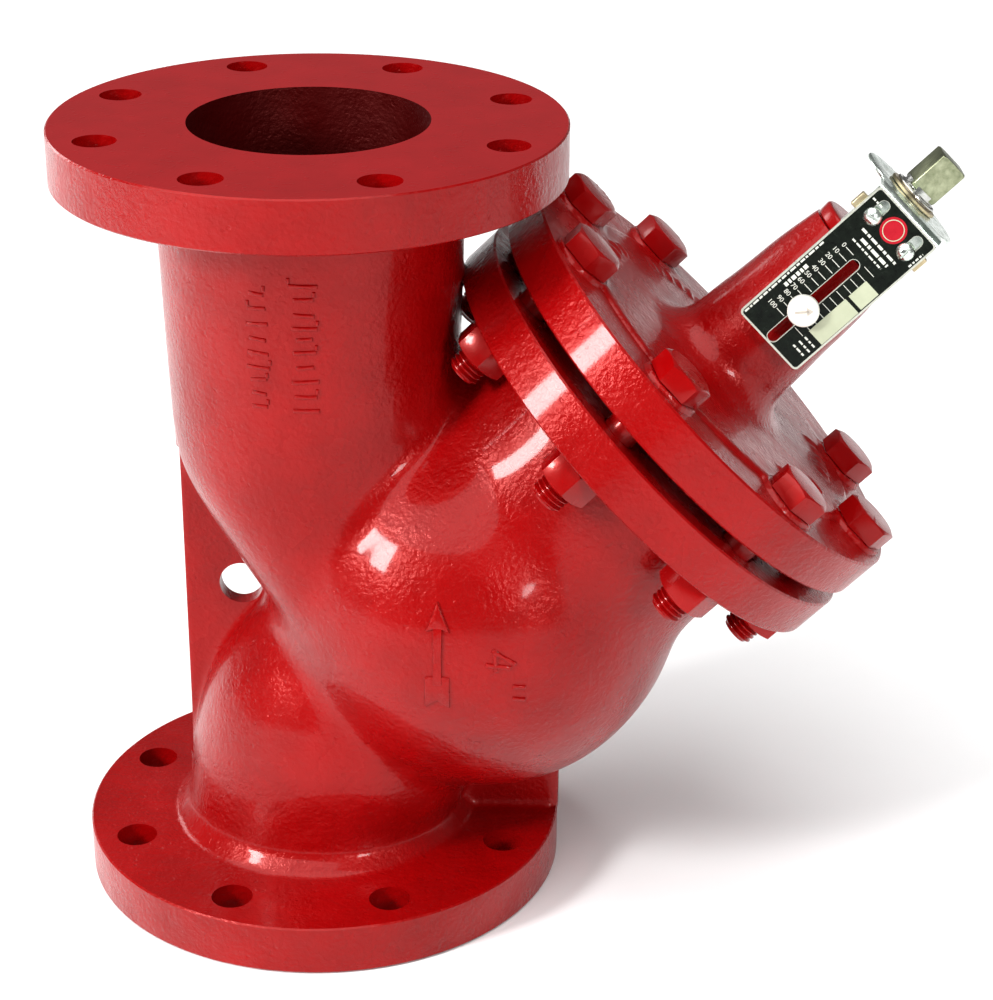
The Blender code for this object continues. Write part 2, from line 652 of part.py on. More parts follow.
def build_nut_bar():
    """Brass bar behind the tab, tapped for the two nameplate screws."""
    front = -(PLATE_FRONT - PLATE_T - 2.0 * GAP - TAB_T)
    shape = box((-20.5, front, 357.6), (20.5, front + 4.6, 365.0))
    bar = finish("plate_nut_bar", shape, BRASS, INDICATOR_AXIS)
    drills = bmesh.new()
    for side_sign in (-1.0, 1.0):
        rod(2.4, 15.0, 45.0, 12, (side_sign * SCREW_OFFSET, SCREW_STATION), shape=drills)
    rolled(drills, TURN / 4.0, "X")
    combine(bar, [tool("tool_bar_drills", drills, INDICATOR_AXIS)])
    return bar


def build_nameplate():
    """Slotted scale plate with a rounded border."""
    back = -(PLATE_FRONT - PLATE_T)
    corners = []
    radius = 2.0
    for sign_x, sign_z, start in ((1, 1, 0), (-1, 1, 90), (-1, -1, 180), (1, -1, 270)):
        for index in range(4):
            angle = math.radians(start + 30.0 * index)
            x = sign_x * (PLATE_HALF_W - radius) + radius * math.cos(angle)
            middle = (PLATE_HIGH + PLATE_LOW) / 2.0
            z = middle + sign_z * ((PLATE_HIGH - PLATE_LOW) / 2.0 - radius) + radius * math.sin(angle)
            corners.append((x, z))
    shape = bmesh.new()
    skin(shape, [[Vector((x, y, z)) for x, z in corners] for y in (-PLATE_FRONT, back)])
    plate = finish("nameplate", shape, PLATE_INK, INDICATOR_AXIS)
    front = -PLATE_FRONT - 3.0
    slots = [slotted(2.55, SCALE_SLOT_LOW, SCALE_SLOT_HIGH, front, back + 3.0)]
    for side_sign in (-1.0, 1.0):
        short = slotted(2.5, SCREW_STATION - 2.8, SCREW_STATION + 9.0, front, back + 3.0, 8)
        slots.append(shifted(short, (side_sign * SCREW_OFFSET, 0.0, 0.0)))
    combine(plate, [tool("tool_slot_%d" % index, slot, INDICATOR_AXIS) for index, slot in enumerate(slots)])
    return plate


def domed_screw(head_r, head_h, shank_r, length, front):
    """Round-head screw whose head sits on a face at -front, built along Z then laid along -Y."""
    outline = [(0.0, -length), (shank_r, -length), (shank_r, GAP), (head_r, GAP), (head_r, GAP + head_h * 0.35),
               (head_r * 0.86, GAP + head_h * 0.72), (head_r * 0.5, GAP + head_h * 0.95), (0.0, GAP + head_h)]
    shape = turned(outline, 16)
    rolled(shape, TURN / 4.0, "X")
    return shifted(shape, (0.0, -front, 0.0))


def build_plate_screws():
    """Two round-head screws through the short slots."""
    made = []
    for name, side_sign in (("plate_screw_left", -1.0), ("plate_screw_right", 1.0)):
        shape = domed_screw(4.2, 2.6, 2.1, 7.6, PLATE_FRONT)
        shifted(shape, (side_sign * SCREW_OFFSET, 0.0, SCREW_STATION))
        made.append(finish(name, shape, ZINC, INDICATOR_AXIS))
    return made


def build_pointer():
    """Pin screwed into the tower through the slot, with its white button outside the plate."""
    pin = turned([(0.0, 19.5), (2.0, 19.5), (2.0, PLATE_FRONT + 3.4), (0.0, PLATE_FRONT + 3.4)], 16)
    rolled(pin, TURN / 4.0, "X")
    shifted(pin, (0.0, 0.0, POINTER_STATION))
    made = [finish("pointer_pin", pin, BRASS, INDICATOR_AXIS)]
    low = PLATE_FRONT + 0.6
    outline = [(0.0, PLATE_FRONT + 3.4 + GAP), (2.0 + GAP, PLATE_FRONT + 3.4 + GAP), (2.0 + GAP, low), (6.6, low),
               (7.0, low + 0.4), (7.0, low + 3.6), (6.2, low + 4.4), (0.0, low + 4.4)]
    button = turned(outline, 28)
    rolled(button, TURN / 4.0, "X")
    shifted(button, (0.0, 0.0, POINTER_STATION))
    made.append(finish("pointer_button", button, WHITE, INDICATOR_AXIS))
    return made


# ---------------------------------------------------------------- cover bolting
def bolt_centre(index):
    """Centre and bearing of one cover bolt; the eight straddle the rib plane."""
    angle = TURN * (index + 0.5) / COVER_BOLTS
    return (COVER_BOLT_R * math.cos(angle), COVER_BOLT_R * math.sin(angle)), angle


def build_cover_bolts():
    """Hex bolts from the cover side and nuts on the body side."""
    seat = PAD_TOP + GAP
    end = BODY_FLANGE_BACK - GAP - NUT_H - THREAD_END
    rolls = (10.0, 35.0, 52.0, 20.0, 5.0, 41.0, 28.0, 14.0)
    made = []
    for index in range(COVER_BOLTS):
        centre, angle = bolt_centre(index)
        roll = angle + math.radians(rolls[index])
        number = index + 1
        shape = hexagon(HEX_HALF, seat, seat + HEAD_H, 1.1, roll, centre)
        bolt = finish("cover_bolt_%d" % number, shape, PAINT, COVER_AXIS)
        shank = turned([(0.0, end), (BOLT_R - 1.0, end), (BOLT_R, end + 1.0), (BOLT_R, seat + 2.0), (0.0, seat + 2.0)],
                       SMALL, centre=centre)
        combine(bolt, [tool("tool_shank_%d" % number, shank, COVER_AXIS)], "UNION")
        nut_roll = angle + math.radians(rolls[-index])
        nut = bored_hexagon(HEX_HALF, BODY_FLANGE_BACK - GAP - NUT_H, BODY_FLANGE_BACK - GAP, BOLT_R + GAP, nut_roll,
                            centre)
        made += [bolt, finish("cover_nut_%d" % number, nut, PAINT, COVER_AXIS)]
    return made


build_body()
build_cover()
build_gasket()
build_stem_bush()
build_packing()
build_packing_nut()
build_seat_ring()
build_check_disc()
build_disc_seal()
build_seal_retainer()
build_disc_nut()
build_spring()
build_stem()
build_retaining_washer()
build_bracket()
build_nut_bar()
build_nameplate()
build_plate_screws()
build_pointer()
build_cover_bolts()
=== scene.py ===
"""Visual model of a flanged check and balancing valve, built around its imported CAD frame.

Shapes are worked out in millimetres in three places: along the vertical pipe axis, along the cover axis
that leans 45 degrees, and in the slightly rolled indicator that slides on the cover axis.
"""
import json
import math
import random

import bmesh
import bpy
from mathutils import Matrix, Vector
from mathutils.bvhtree import BVHTree


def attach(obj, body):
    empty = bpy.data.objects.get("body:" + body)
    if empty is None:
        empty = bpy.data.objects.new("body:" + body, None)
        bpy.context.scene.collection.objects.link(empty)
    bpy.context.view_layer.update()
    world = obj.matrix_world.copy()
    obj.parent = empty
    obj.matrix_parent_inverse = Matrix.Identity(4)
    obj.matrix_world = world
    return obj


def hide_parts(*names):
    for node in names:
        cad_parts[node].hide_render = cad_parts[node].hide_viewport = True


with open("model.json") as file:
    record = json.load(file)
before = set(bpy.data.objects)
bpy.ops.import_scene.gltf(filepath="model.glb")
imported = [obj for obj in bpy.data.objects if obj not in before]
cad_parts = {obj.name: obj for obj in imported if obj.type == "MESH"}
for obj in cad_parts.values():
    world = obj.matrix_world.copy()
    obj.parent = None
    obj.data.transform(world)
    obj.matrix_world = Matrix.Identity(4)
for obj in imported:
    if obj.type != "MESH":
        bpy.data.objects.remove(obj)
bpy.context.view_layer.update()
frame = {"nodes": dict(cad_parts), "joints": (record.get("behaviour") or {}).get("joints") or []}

MM = 0.001
TURN = 2.0 * math.pi
JOINTS = {joint["name"]: joint for joint in frame["joints"]}
CROSSING = Vector(JOINTS["stem_turn"]["pos_m"])     # where the cover axis crosses the pipe axis
TILT = math.radians(45.0)
PIPE = Matrix.Translation((CROSSING.x, 0.0, 0.0))
COVER = Matrix.Translation(CROSSING) @ Matrix.Rotation(TILT, 4, "Y")
INDICATOR_ROLL = math.radians(-9.4)
INDICATOR = COVER @ Matrix.Rotation(INDICATOR_ROLL, 4, "Z")

# ---------------- sizes in millimetres
AXIS_Z = CROSSING.z / MM
FLANGE_R = 114.3
FLANGE_T = 23.8
HEIGHT = 368.3
BOLT_CIRCLE_R = 95.25
FLANGE_HOLE_R = 9.55
PIPE_HOLES = 8
BORE_R = 53.6
PAINTED_SHADE_TO = 45.0                              # the lower bore gets painted shade up to this height
PAINTED_SHADE_FROM = 200.0                           # and the upper bore from this one
WALL = 9.0
WEB_HALF = 4.0
WEB_EDGE = -63.3
WEB_OPENING = (-37.0, 143.9, 10.3)          # x, z and radius

COVER_R = 113.7
COVER_BOLT_R = 96.5
COVER_BOLTS = 8
BODY_BACK = 208.6                           # stations along the cover axis
BODY_FACE = 229.1
COVER_BACK = 236.8
COVER_FRONT = 257.9
PLATEAU = 259.8
PLATEAU_R = 88.0
PAD_TOP = 260.0
PAD_R = 14.6
SPOT_R = 14.2
OPENING_R = 68.0
GASKET_R = 80.0
TOWER_TOP = 340.8
NUT_TOP = 347.7
WAIST = 28.0                                # station at the seat where necks and chamber meet
WAIST_SHIFT = 3.0
SEAT_BOTTOM = 23.0
SEAT_TOP = 35.0
SEAT_R = 44.0
SEAT_POCKET_R = 52.5

STEM_R = 12.0
STEM_NECK_R = 9.4
HUB_CLOSED = 78.0                           # station of the top of the disc hub when closed
REST_LIFT = 24.8
DISC_PLATE_BOTTOM = 372.9
DISC_PLATE_T = 2.0
BRACKET_R = 26.6
PLATE_FRONT = 36.0
PLATE_T = 1.0
TAB_T = 2.0
BEND_R = 3.4
PLATE_HALF_W = 18.2
PLATE_LOW = 290.9
PLATE_HIGH = 372.7
BORDER = 0.9
SLOT_HALF_W = 2.55
SLOT_LOW = 292.0
SLOT_HIGH = 343.6
POINTER_STATION = 312.2
SCREW_STATION = 361.2
SCREW_OFFSET = 10.5
RED_DISC_STATION = 363.7
DASH_GAP = 0.7
SCALE_CLOSED = 344.1
SCALE_STEP = 4.0                            # stem travel for each tenth of the opening
SQUARE_BOTTOM = 379.4
SQUARE_TOP = 398.6
SQUARE_HALF = 7.1
SQUARE_ROLL = math.radians(3.0)

HEX_HALF = 11.9
BOLT_R = 7.9
BOLT_PLAY = 0.8
THREAD_PITCH = 2.3
HEAD_H = 9.8
NUT_H = 13.6
THREAD_END = 9.6
HEAD_ROLLS = (10.0, 35.0, 52.0, 20.0, 5.0, 41.0, 28.0, 14.0)
GAP = 0.3

WORLD_LIGHT = 0.16
PAINT_SHEEN = (1.0, 0.22, 0.20)             # the enamel tints its own soft reflections
OVERHEAD_LIGHT = 3.3
FLOOR_R = 6000.0
FLOOR_DROP = 0.0005                         # metres below the lower flange

VIEW_ANGLES = (0.802, 24.606, 0.413)        # azimuth, elevation and roll in degrees
VIEW_DISTANCE = 1.16857                     # metres from the point looked at
VIEW_SHIFT = 0.083225                       # metres of that point beside the crossing
VIEW_HEIGHT = 0.186619
SENSOR = 36.0
LENS = 90.805

FINE = 144                                  # facets on large round forms
MEDIUM = 64
SMALL = 32


# ---------------- materials
def shader_of(name, base, metallic=0.0, roughness=0.4, coat=0.0, coat_roughness=0.1, specular=0.5,
              tint=(1.0, 1.0, 1.0)):
    """New material with its constant sockets set, its tree, its shader and object coordinates."""
    made = bpy.data.materials.new(name)
    made.use_nodes = True
    tree = made.node_tree
    shader = tree.nodes["Principled BSDF"]
    shader.inputs["Base Color"].default_value = (*base, 1.0)
    shader.inputs["Metallic"].default_value = metallic
    shader.inputs["Roughness"].default_value = roughness
    shader.inputs["Coat Weight"].default_value = coat
    shader.inputs["Coat Roughness"].default_value = coat_roughness
    shader.inputs["Specular IOR Level"].default_value = specular
    shader.inputs["Specular Tint"].default_value = (*tint, 1.0)
    place = tree.nodes.new("ShaderNodeTexCoord")
    return made, tree, shader, place.outputs["Object"]


def noise(tree, place, scale, detail=3.0, roughness=0.5):
    """Noise texture value in object space."""
    node = tree.nodes.new("ShaderNodeTexNoise")
    node.inputs["Scale"].default_value = scale
    node.inputs["Detail"].default_value = detail
    node.inputs["Roughness"].default_value = roughness
    tree.links.new(place, node.inputs["Vector"])
    return node.outputs["Fac"]


def ramp(tree, value, stops):
    """Colour ramp through (position, colour or grey) stops."""
    node = tree.nodes.new("ShaderNodeValToRGB")
    band = node.color_ramp
    while len(band.elements) < len(stops):
        band.elements.new(0.5)
    for element, (position, colour) in zip(band.elements, stops):
        element.position = position
        element.color = (*colour, 1.0) if isinstance(colour, tuple) else (colour, colour, colour, 1.0)
    tree.links.new(value, node.inputs["Fac"])
    return node.outputs["Color"]


def bump(tree, shader, height, strength, distance, below=None):
    """Bump in metres on a shader, stacked on another bump when given."""
    node = tree.nodes.new("ShaderNodeBump")
    node.inputs["Strength"].default_value = strength
    node.inputs["Distance"].default_value = distance
    tree.links.new(height, node.inputs["Height"])
    if below is not None:
        tree.links.new(below, node.inputs["Normal"])
    tree.links.new(node.outputs["Normal"], shader.inputs["Normal"])
    return node.outputs["Normal"]


def stretched(tree, place, scale):
    """Coordinates stretched by a scale on each axis."""
    node = tree.nodes.new("ShaderNodeMapping")
    node.inputs["Scale"].default_value = scale
    tree.links.new(place, node.inputs["Vector"])
    return node.outputs["Vector"]


def red_enamel(name, grain, gloss, depth=0.00035, shade=1.0):
    """Glossy red paint over sand-cast iron: patchy colour, orange peel and casting grain."""
    made, tree, shader, place = shader_of(name, (0.30, 0.0008, 0.0012), 0.0, gloss, 0.20, 0.08, 0.45,
                                         PAINT_SHEEN)
    patch = noise(tree, place, 22.0, 4.0, 0.6)
    reds = ((0.19, 0.0005, 0.0008), (0.235, 0.0006, 0.0010), (0.27, 0.0011, 0.0018))
    # A shade below 1 darkens the reds; the bores use it as painted shade.
    reds = [(red * shade, green * math.sqrt(shade), blue * math.sqrt(shade)) for red, green, blue in reds]
    colour = ramp(tree, patch, list(zip((0.30, 0.52, 0.72), reds)))
    tree.links.new(colour, shader.inputs["Base Color"])
    rough = ramp(tree, noise(tree, place, 60.0, 3.0), [(0.3, gloss - 0.05), (0.7, gloss + 0.08)])
    tree.links.new(rough, shader.inputs["Roughness"])
    coarse = bump(tree, shader, noise(tree, place, 90.0, 2.0, 0.4), 0.55 * grain, depth * 2.0)
    middle = bump(tree, shader, noise(tree, place, 420.0, 3.0, 0.55), grain, depth, coarse)
    pits = ramp(tree, noise(tree, place, 260.0, 1.0, 0.3), [(0.24, 0.0), (0.30, 1.0)])
    bump(tree, shader, pits, 0.35 * grain, depth, middle)
    return made


def machined_enamel():
    """Thinner paint over a turned flange face: smoother, with fine grain and specks."""
    made, tree, shader, place = shader_of("red_enamel_faced", (0.31, 0.001, 0.002), 0.0, 0.36, 0.2, 0.25, 0.4,
                                         PAINT_SHEEN)
    colour = ramp(tree, noise(tree, place, 35.0, 5.0, 0.65), [(0.3, (0.23, 0.0010, 0.0022)),
                                                             (0.7, (0.28, 0.0016, 0.0034))])
    tree.links.new(colour, shader.inputs["Base Color"])
    fine = bump(tree, shader, noise(tree, place, 900.0, 2.0, 0.5), 0.35, 0.0001)
    specks = ramp(tree, noise(tree, place, 330.0, 1.0, 0.3), [(0.66, 0.0), (0.72, 1.0)])
    bump(tree, shader, specks, 0.4, 0.0002, fine)
    return made


def zinc_plate():
    """Bright zinc plate with a faint green-blue cast and small handling marks."""
    made, tree, shader, place = shader_of("zinc_plate", (0.72, 0.78, 0.74), 1.0, 0.22)
    tint = ramp(tree, noise(tree, place, 70.0, 3.0), [(0.35, (0.66, 0.80, 0.70)), (0.65, (0.88, 0.95, 0.88))])
    tree.links.new(tint, shader.inputs["Base Color"])
    rough = ramp(tree, noise(tree, place, 240.0, 3.0), [(0.3, 0.14), (0.7, 0.34)])
    tree.links.new(rough, shader.inputs["Roughness"])
    bump(tree, shader, noise(tree, place, 320.0, 2.0), 0.25, 0.0001)
    return made


def brushed_metal(name, dark, light, rough_low, rough_high, stretch):
    """Machined metal with fine scratches along one direction."""
    made, tree, shader, place = shader_of(name, light, 1.0, rough_low)
    lines = noise(tree, stretched(tree, place, stretch), 260.0, 4.0, 0.6)
    tree.links.new(ramp(tree, lines, [(0.3, dark), (0.7, light)]), shader.inputs["Base Color"])
    tree.links.new(ramp(tree, noise(tree, place, 90.0, 3.0), [(0.3, rough_low), (0.7, rough_high)]),
                   shader.inputs["Roughness"])
    bump(tree, shader, lines, 0.2, 0.00008)
    return made


def plain_grain(name, dark, light, roughness, scale, depth, metallic=0.0, specular=0.5):
    """Non-directional grain for rubber, fibre, plastic and printed surfaces."""
    made, tree, shader, place = shader_of(name, light, metallic, roughness, specular=specular)
    grain = noise(tree, place, scale, 4.0, 0.6)
    tree.links.new(ramp(tree, grain, [(0.3, dark), (0.7, light)]), shader.inputs["Base Color"])
    tree.links.new(ramp(tree, grain, [(0.3, roughness - 0.06), (0.7, roughness + 0.06)]),
                   shader.inputs["Roughness"])
    bump(tree, shader, grain, 0.25, depth)
    return made


CAST_RED = red_enamel("red_enamel_cast", 1.0, 0.25, 0.0005)
# Darkened enamel that paints the shade inside the two straight bores.
BORE_PAINTED_SHADE = red_enamel("bore_painted_shade", 1.0, 0.42, 0.0005, 0.16)
BOLT_RED = red_enamel("red_enamel_bolting", 0.35, 0.24, 0.00015)
FACED_RED = machined_enamel()
ZINC = zinc_plate()
SQUARE_STEEL = brushed_metal("drive_steel", (0.19, 0.21, 0.12), (0.40, 0.42, 0.28), 0.26, 0.46,
                             (1.0, 8.0, 1.0))
STAINLESS = brushed_metal("stainless_turned", (0.45, 0.45, 0.43), (0.64, 0.64, 0.61), 0.2, 0.36,
                          (1.0, 1.0, 12.0))
BRASS = brushed_metal("brass_dull", (0.42, 0.34, 0.20), (0.62, 0.52, 0.34), 0.3, 0.5, (1.0, 6.0, 1.0))
BRONZE = brushed_metal("bronze_turned", (0.36, 0.22, 0.10), (0.56, 0.36, 0.18), 0.3, 0.48, (1.0, 1.0, 8.0))
RUBBER = plain_grain("rubber_black", (0.010, 0.010, 0.010), (0.028, 0.028, 0.028), 0.62, 500.0, 0.00008)
FIBRE = plain_grain("gasket_fibre", (0.035, 0.040, 0.035), (0.08, 0.085, 0.075), 0.85, 420.0, 0.0001)
PLATE_METAL = plain_grain("plate_border", (0.62, 0.63, 0.54), (0.74, 0.75, 0.66), 0.32, 700.0, 0.00003, 0.85)
PLATE_BLACK = plain_grain("plate_black", (0.002, 0.003, 0.002), (0.006, 0.009, 0.006), 0.24, 300.0, 0.00002,
                          specular=0.12)
PLATE_PALE = plain_grain("plate_pale_field", (0.38, 0.41, 0.28), (0.44, 0.47, 0.33), 0.4, 120.0, 0.00001)
PLATE_RED = plain_grain("plate_red_disc", (0.34, 0.003, 0.012), (0.40, 0.006, 0.016), 0.35, 400.0, 0.00002,
                        specular=0.2)
MARK_WHITE = plain_grain("plate_white_marks", (0.55, 0.57, 0.50), (0.66, 0.67, 0.60), 0.4, 900.0, 0.00001)
BUTTON_WHITE = plain_grain("button_plastic", (0.74, 0.72, 0.64), (0.85, 0.84, 0.77), 0.36, 240.0, 0.00004)
BUTTON_GREY = plain_grain("button_arrow", (0.42, 0.38, 0.32), (0.52, 0.47, 0.40), 0.5, 400.0, 0.00003)
FLOOR = plain_grain("studio_floor", (0.86, 0.86, 0.86), (0.88, 0.88, 0.88), 0.6, 8.0, 0.0001, specular=0.2)


# ---------------- shape builders (millimetres)
def skin(shape, rings):
    """Join successive rings of points with quads and close both ends."""
    rows = [[shape.verts.new(point) for point in ring] for ring in rings]
    count = len(rows[0])
    for low, high in zip(rows, rows[1:]):
        for index in range(count):
            after = (index + 1) % count
            shape.faces.new((low[index], low[after], high[after], high[index]))
    shape.faces.new(list(reversed(rows[0])))
    shape.faces.new(rows[-1])
    return shape


def between(before, start, end, after, share):
    """Catmull-Rom value between start and end."""
    return 0.5 * (2.0 * start + (end - before) * share
                  + (2.0 * before - 5.0 * start + 4.0 * end - after) * share ** 2
                  + (3.0 * start - before - 3.0 * end + after) * share ** 3)


def eased(rows, steps):
    """Rows of numbers with a smooth curve put through them."""
    smooth = []
    for index in range(len(rows) - 1):
        before = rows[max(index - 1, 0)]
        after = rows[min(index + 2, len(rows) - 1)]
        for step in range(steps):
            share = step / steps
            smooth.append(tuple(between(*values, share)
                                for values in zip(before, rows[index], rows[index + 1], after)))
    smooth.append(tuple(rows[-1]))
    return smooth


def loft(sections, steps=6, facets=FINE, grow=0.0):
    """Solid through circles given as (x, z, tilt in degrees, radius), eased between them."""
    rings = []
    for x, z, tilt, radius in eased(sections, steps):
        spin = Matrix.Rotation(math.radians(tilt), 3, "Y")
        reach = radius + grow
        rings.append([Vector((x, 0.0, z)) + spin @ Vector((reach * math.cos(TURN * index / facets),
                                                           reach * math.sin(TURN * index / facets), 0.0))
                      for index in range(facets)])
    return skin(bmesh.new(), rings)


def turned(outline, facets=MEDIUM, centre=(0.0, 0.0), shape=None, turn=0.0):
    """Solid of revolution about Z from a closed outline of (radius, height) points."""
    shape = shape or bmesh.new()
    rows = []
    for radius, height in outline:
        if radius < 1e-6:
            rows.append([shape.verts.new((centre[0], centre[1], height))])
            continue
        rows.append([shape.verts.new((centre[0] + radius * math.cos(TURN * index / facets + turn),
                                      centre[1] + radius * math.sin(TURN * index / facets + turn), height))
                     for index in range(facets)])
    for here, there in zip(rows, rows[1:] + rows[:1]):
        if len(here) == 1 and len(there) == 1:
            continue
        for index in range(facets):
            after = (index + 1) % facets
            corners = [here[index % len(here)], here[after % len(here)]]
            corners += [there[after % len(there)], there[index % len(there)]]
            shape.faces.new(list(dict.fromkeys(corners)))
    return shape


def rod(radius, low, high, facets=SMALL, centre=(0.0, 0.0), shape=None):
    """Cylinder along Z."""
    return turned([(0.0, low), (radius, low), (radius, high), (0.0, high)], facets, centre, shape)


def box(low, high, shape=None):
    """Axis-aligned block between two corners."""
    shape = shape or bmesh.new()
    size = [b - a for a, b in zip(low, high)]
    middle = [(a + b) / 2.0 for a, b in zip(low, high)]
    bmesh.ops.create_cube(shape, size=1.0, matrix=Matrix.Translation(middle) @ Matrix.Diagonal((*size, 1.0)))
    return shape


def arc(centre_r, centre_z, radius, start, end, steps):
    """Points of a circular arc, angles in degrees."""
    return [(centre_r + radius * math.cos(math.radians(start + (end - start) * index / steps)),
             centre_z + radius * math.sin(math.radians(start + (end - start) * index / steps)))
            for index in range(steps + 1)]


def slot_outline(half_width, low, high, steps=12, grow=0.0):
    """Round-ended outline in (x, z), grown outwards by a margin."""
    reach = half_width + grow
    return (arc(0.0, high - half_width, reach, 0.0, 180.0, steps)
            + arc(0.0, low + half_width, reach, 180.0, 360.0, steps))


def rounded_outline(half_w, low, high, radius):
    """Rectangle in (x, z) with round corners."""
    points = []
    for x, z, start in ((half_w - radius, high - radius, 0.0), (radius - half_w, high - radius, 90.0),
                        (radius - half_w, low + radius, 180.0), (half_w - radius, low + radius, 270.0)):
        points += arc(x, z, radius, start, start + 90.0, 6)
    return points


def slab(outline, front, back, shift=0.0):
    """Outline in (x, z) extruded along Y."""
    return skin(bmesh.new(), [[Vector((x + shift, y, z)) for x, z in outline] for y in (front, back)])


def laid(shape, angle, axis):
    """Turn a shape about one of its own axes."""
    bmesh.ops.rotate(shape, verts=shape.verts, cent=(0.0, 0.0, 0.0), matrix=Matrix.Rotation(angle, 3, axis))
    return shape


def moved(shape, offset):
    """Move a shape."""
    bmesh.ops.translate(shape, verts=shape.verts, vec=offset)
    return shape


def facing(shape, x, z):
    """Turn a shape built along Z to face -Y and put it at (x, z)."""
    return moved(laid(shape, TURN / 4.0, "X"), (x, 0.0, z))


# ---------------- objects
def solid(name, shape, place=None):
    """Object in metres from a shape in millimetres, put in its place in the shared frame."""
    bmesh.ops.remove_doubles(shape, verts=shape.verts, dist=1e-4)
    bmesh.ops.recalc_face_normals(shape, faces=shape.faces)
    bmesh.ops.scale(shape, vec=(MM, MM, MM), verts=shape.verts)
    if place is not None:
        bmesh.ops.transform(shape, matrix=place, verts=shape.verts)
    mesh = bpy.data.meshes.new(name)
    shape.to_mesh(mesh)
    shape.free()
    made = bpy.data.objects.new(name, mesh)
    bpy.context.scene.collection.objects.link(made)
    return made


def applied(piece):
    """Bake a piece's modifiers into its mesh."""
    depsgraph = bpy.context.evaluated_depsgraph_get()
    mesh = bpy.data.meshes.new_from_object(piece.evaluated_get(depsgraph))
    piece.modifiers.clear()
    piece.data = mesh
    return piece


def joined(name, pieces):
    """One object holding the meshes of several, which are used up."""
    shape = bmesh.new()
    for piece in pieces:
        shape.from_mesh(piece.data)
        bpy.data.objects.remove(piece)
    mesh = bpy.data.meshes.new(name)
    shape.to_mesh(mesh)
    shape.free()
    made = bpy.data.objects.new(name, mesh)
    bpy.context.scene.collection.objects.link(made)
    return made


def combined(piece, tools, operation):
    """Apply Booleans with each tool in turn and use the tools up."""
    for tool in tools:
        step = piece.modifiers.new(operation.lower(), "BOOLEAN")
        step.operation = operation
        step.solver = "MANIFOLD"
        step.object = tool
    applied(piece)
    for tool in tools:
        bpy.data.objects.remove(tool)


def cast(piece, voxel, rounds):
    """Fuse overlapping solids and soften every corner, as a sand casting is."""
    remesh = piece.modifiers.new("fuse", "REMESH")
    remesh.mode = "VOXEL"
    remesh.voxel_size = voxel * MM
    soften = piece.modifiers.new("soften", "SMOOTH")
    soften.factor = 0.5
    soften.iterations = rounds
    return applied(piece)


def bevelled(piece, width, segments=3, angle=30.0):
    """Round the sharp edges of a piece."""
    step = piece.modifiers.new("round_edges", "BEVEL")
    step.width = width * MM
    step.segments = segments
    step.limit_method = "ANGLE"
    step.angle_limit = math.radians(angle)
    applied(piece)


def shown(piece, look, body, nodes=(), sharp=32.0):
    """Give a piece its look and its body, and hide the CAD nodes that it stands for."""
    piece.data.materials.clear()
    piece.data.materials.append(look)
    piece.data.shade_smooth()
    piece.data.set_sharp_from_angle(angle=math.radians(sharp))
    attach(piece, body)
    if nodes:
        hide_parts(*nodes)


def face_look(piece, look, test):
    """Use a further material on the faces that pass a test of (centre, normal)."""
    piece.data.materials.append(look)
    for face in piece.data.polygons:
        if test(face.center, face.normal):
            face.material_index = len(piece.data.materials) - 1


# ---------------- valve body
def waist_section(beyond, radius, shift=WAIST_SHIFT):
    """Circle square to the cover axis near the seat."""
    station = WAIST + beyond
    x = (station + shift) * math.sin(TILT)
    z = AXIS_Z + (station - shift) * math.cos(TILT)
    return (x, z, math.degrees(TILT), radius)


CHAMBER = [(WAIST, 60.0), (45.0, 75.0), (64.0, 87.5), (84.0, 94.8), (104.0, 96.9), (124.0, 94.7),
           (141.0, 89.8), (154.0, 83.2), (166.0, 79.3), (202.0, 79.0), (BODY_BACK + 4.0, 79.5)]
LOWER_NECK = [(0.0, 12.0, 0.0, 65.5), (0.0, 32.0, 1.0, 64.6), (0.7, 40.5, 7.0, 64.2), (3.5, 55.5, 18.0, 66.2),
              (10.6, 71.5, 30.0, 69.0), waist_section(0.0, 68.0), waist_section(6.0, 60.0)]
UPPER_NECK = [waist_section(0.7, 60.5, 4.5), (20.2, 118.2, 38.0, 59.4), (17.2, 137.0, 30.0, 61.6),
              (5.3, 183.4, 15.0, 64.0), (0.0, 221.0, 0.0, 63.8), (0.0, 260.0, 0.0, 65.6),
              (0.0, 310.0, 0.0, 67.2), (0.0, 356.0, 0.0, 68.6)]
SHRINK = 1.2                                # what softening takes off the round walls


def flange_ring(outer, low, high, edge):
    """Round flange with slightly broken edges, solid to its centre."""
    return turned([(0.0, low), (outer - edge, low), (outer, low + edge), (outer, high - edge),
                   (outer - edge, high), (0.0, high)], FINE)


def hole_ring(radius, pitch_radius, count, low, high):
    """Ring of upright cylinders that straddle the centre lines, for holes, pads and spot faces."""
    shape = bmesh.new()
    for index in range(count):
        angle = TURN * (index + 0.5) / count
        rod(radius, low, high, SMALL, (pitch_radius * math.cos(angle), pitch_radius * math.sin(angle)), shape)
    return shape


def pipe_holes(low, high):
    """Bolt holes of one pipe flange."""
    return hole_ring(FLANGE_HOLE_R, BOLT_CIRCLE_R, PIPE_HOLES, low, high)


def cover_holes(low, high):
    """Clearance holes for the cover bolts."""
    return hole_ring(BOLT_R + BOLT_PLAY, COVER_BOLT_R, COVER_BOLTS, low, high)


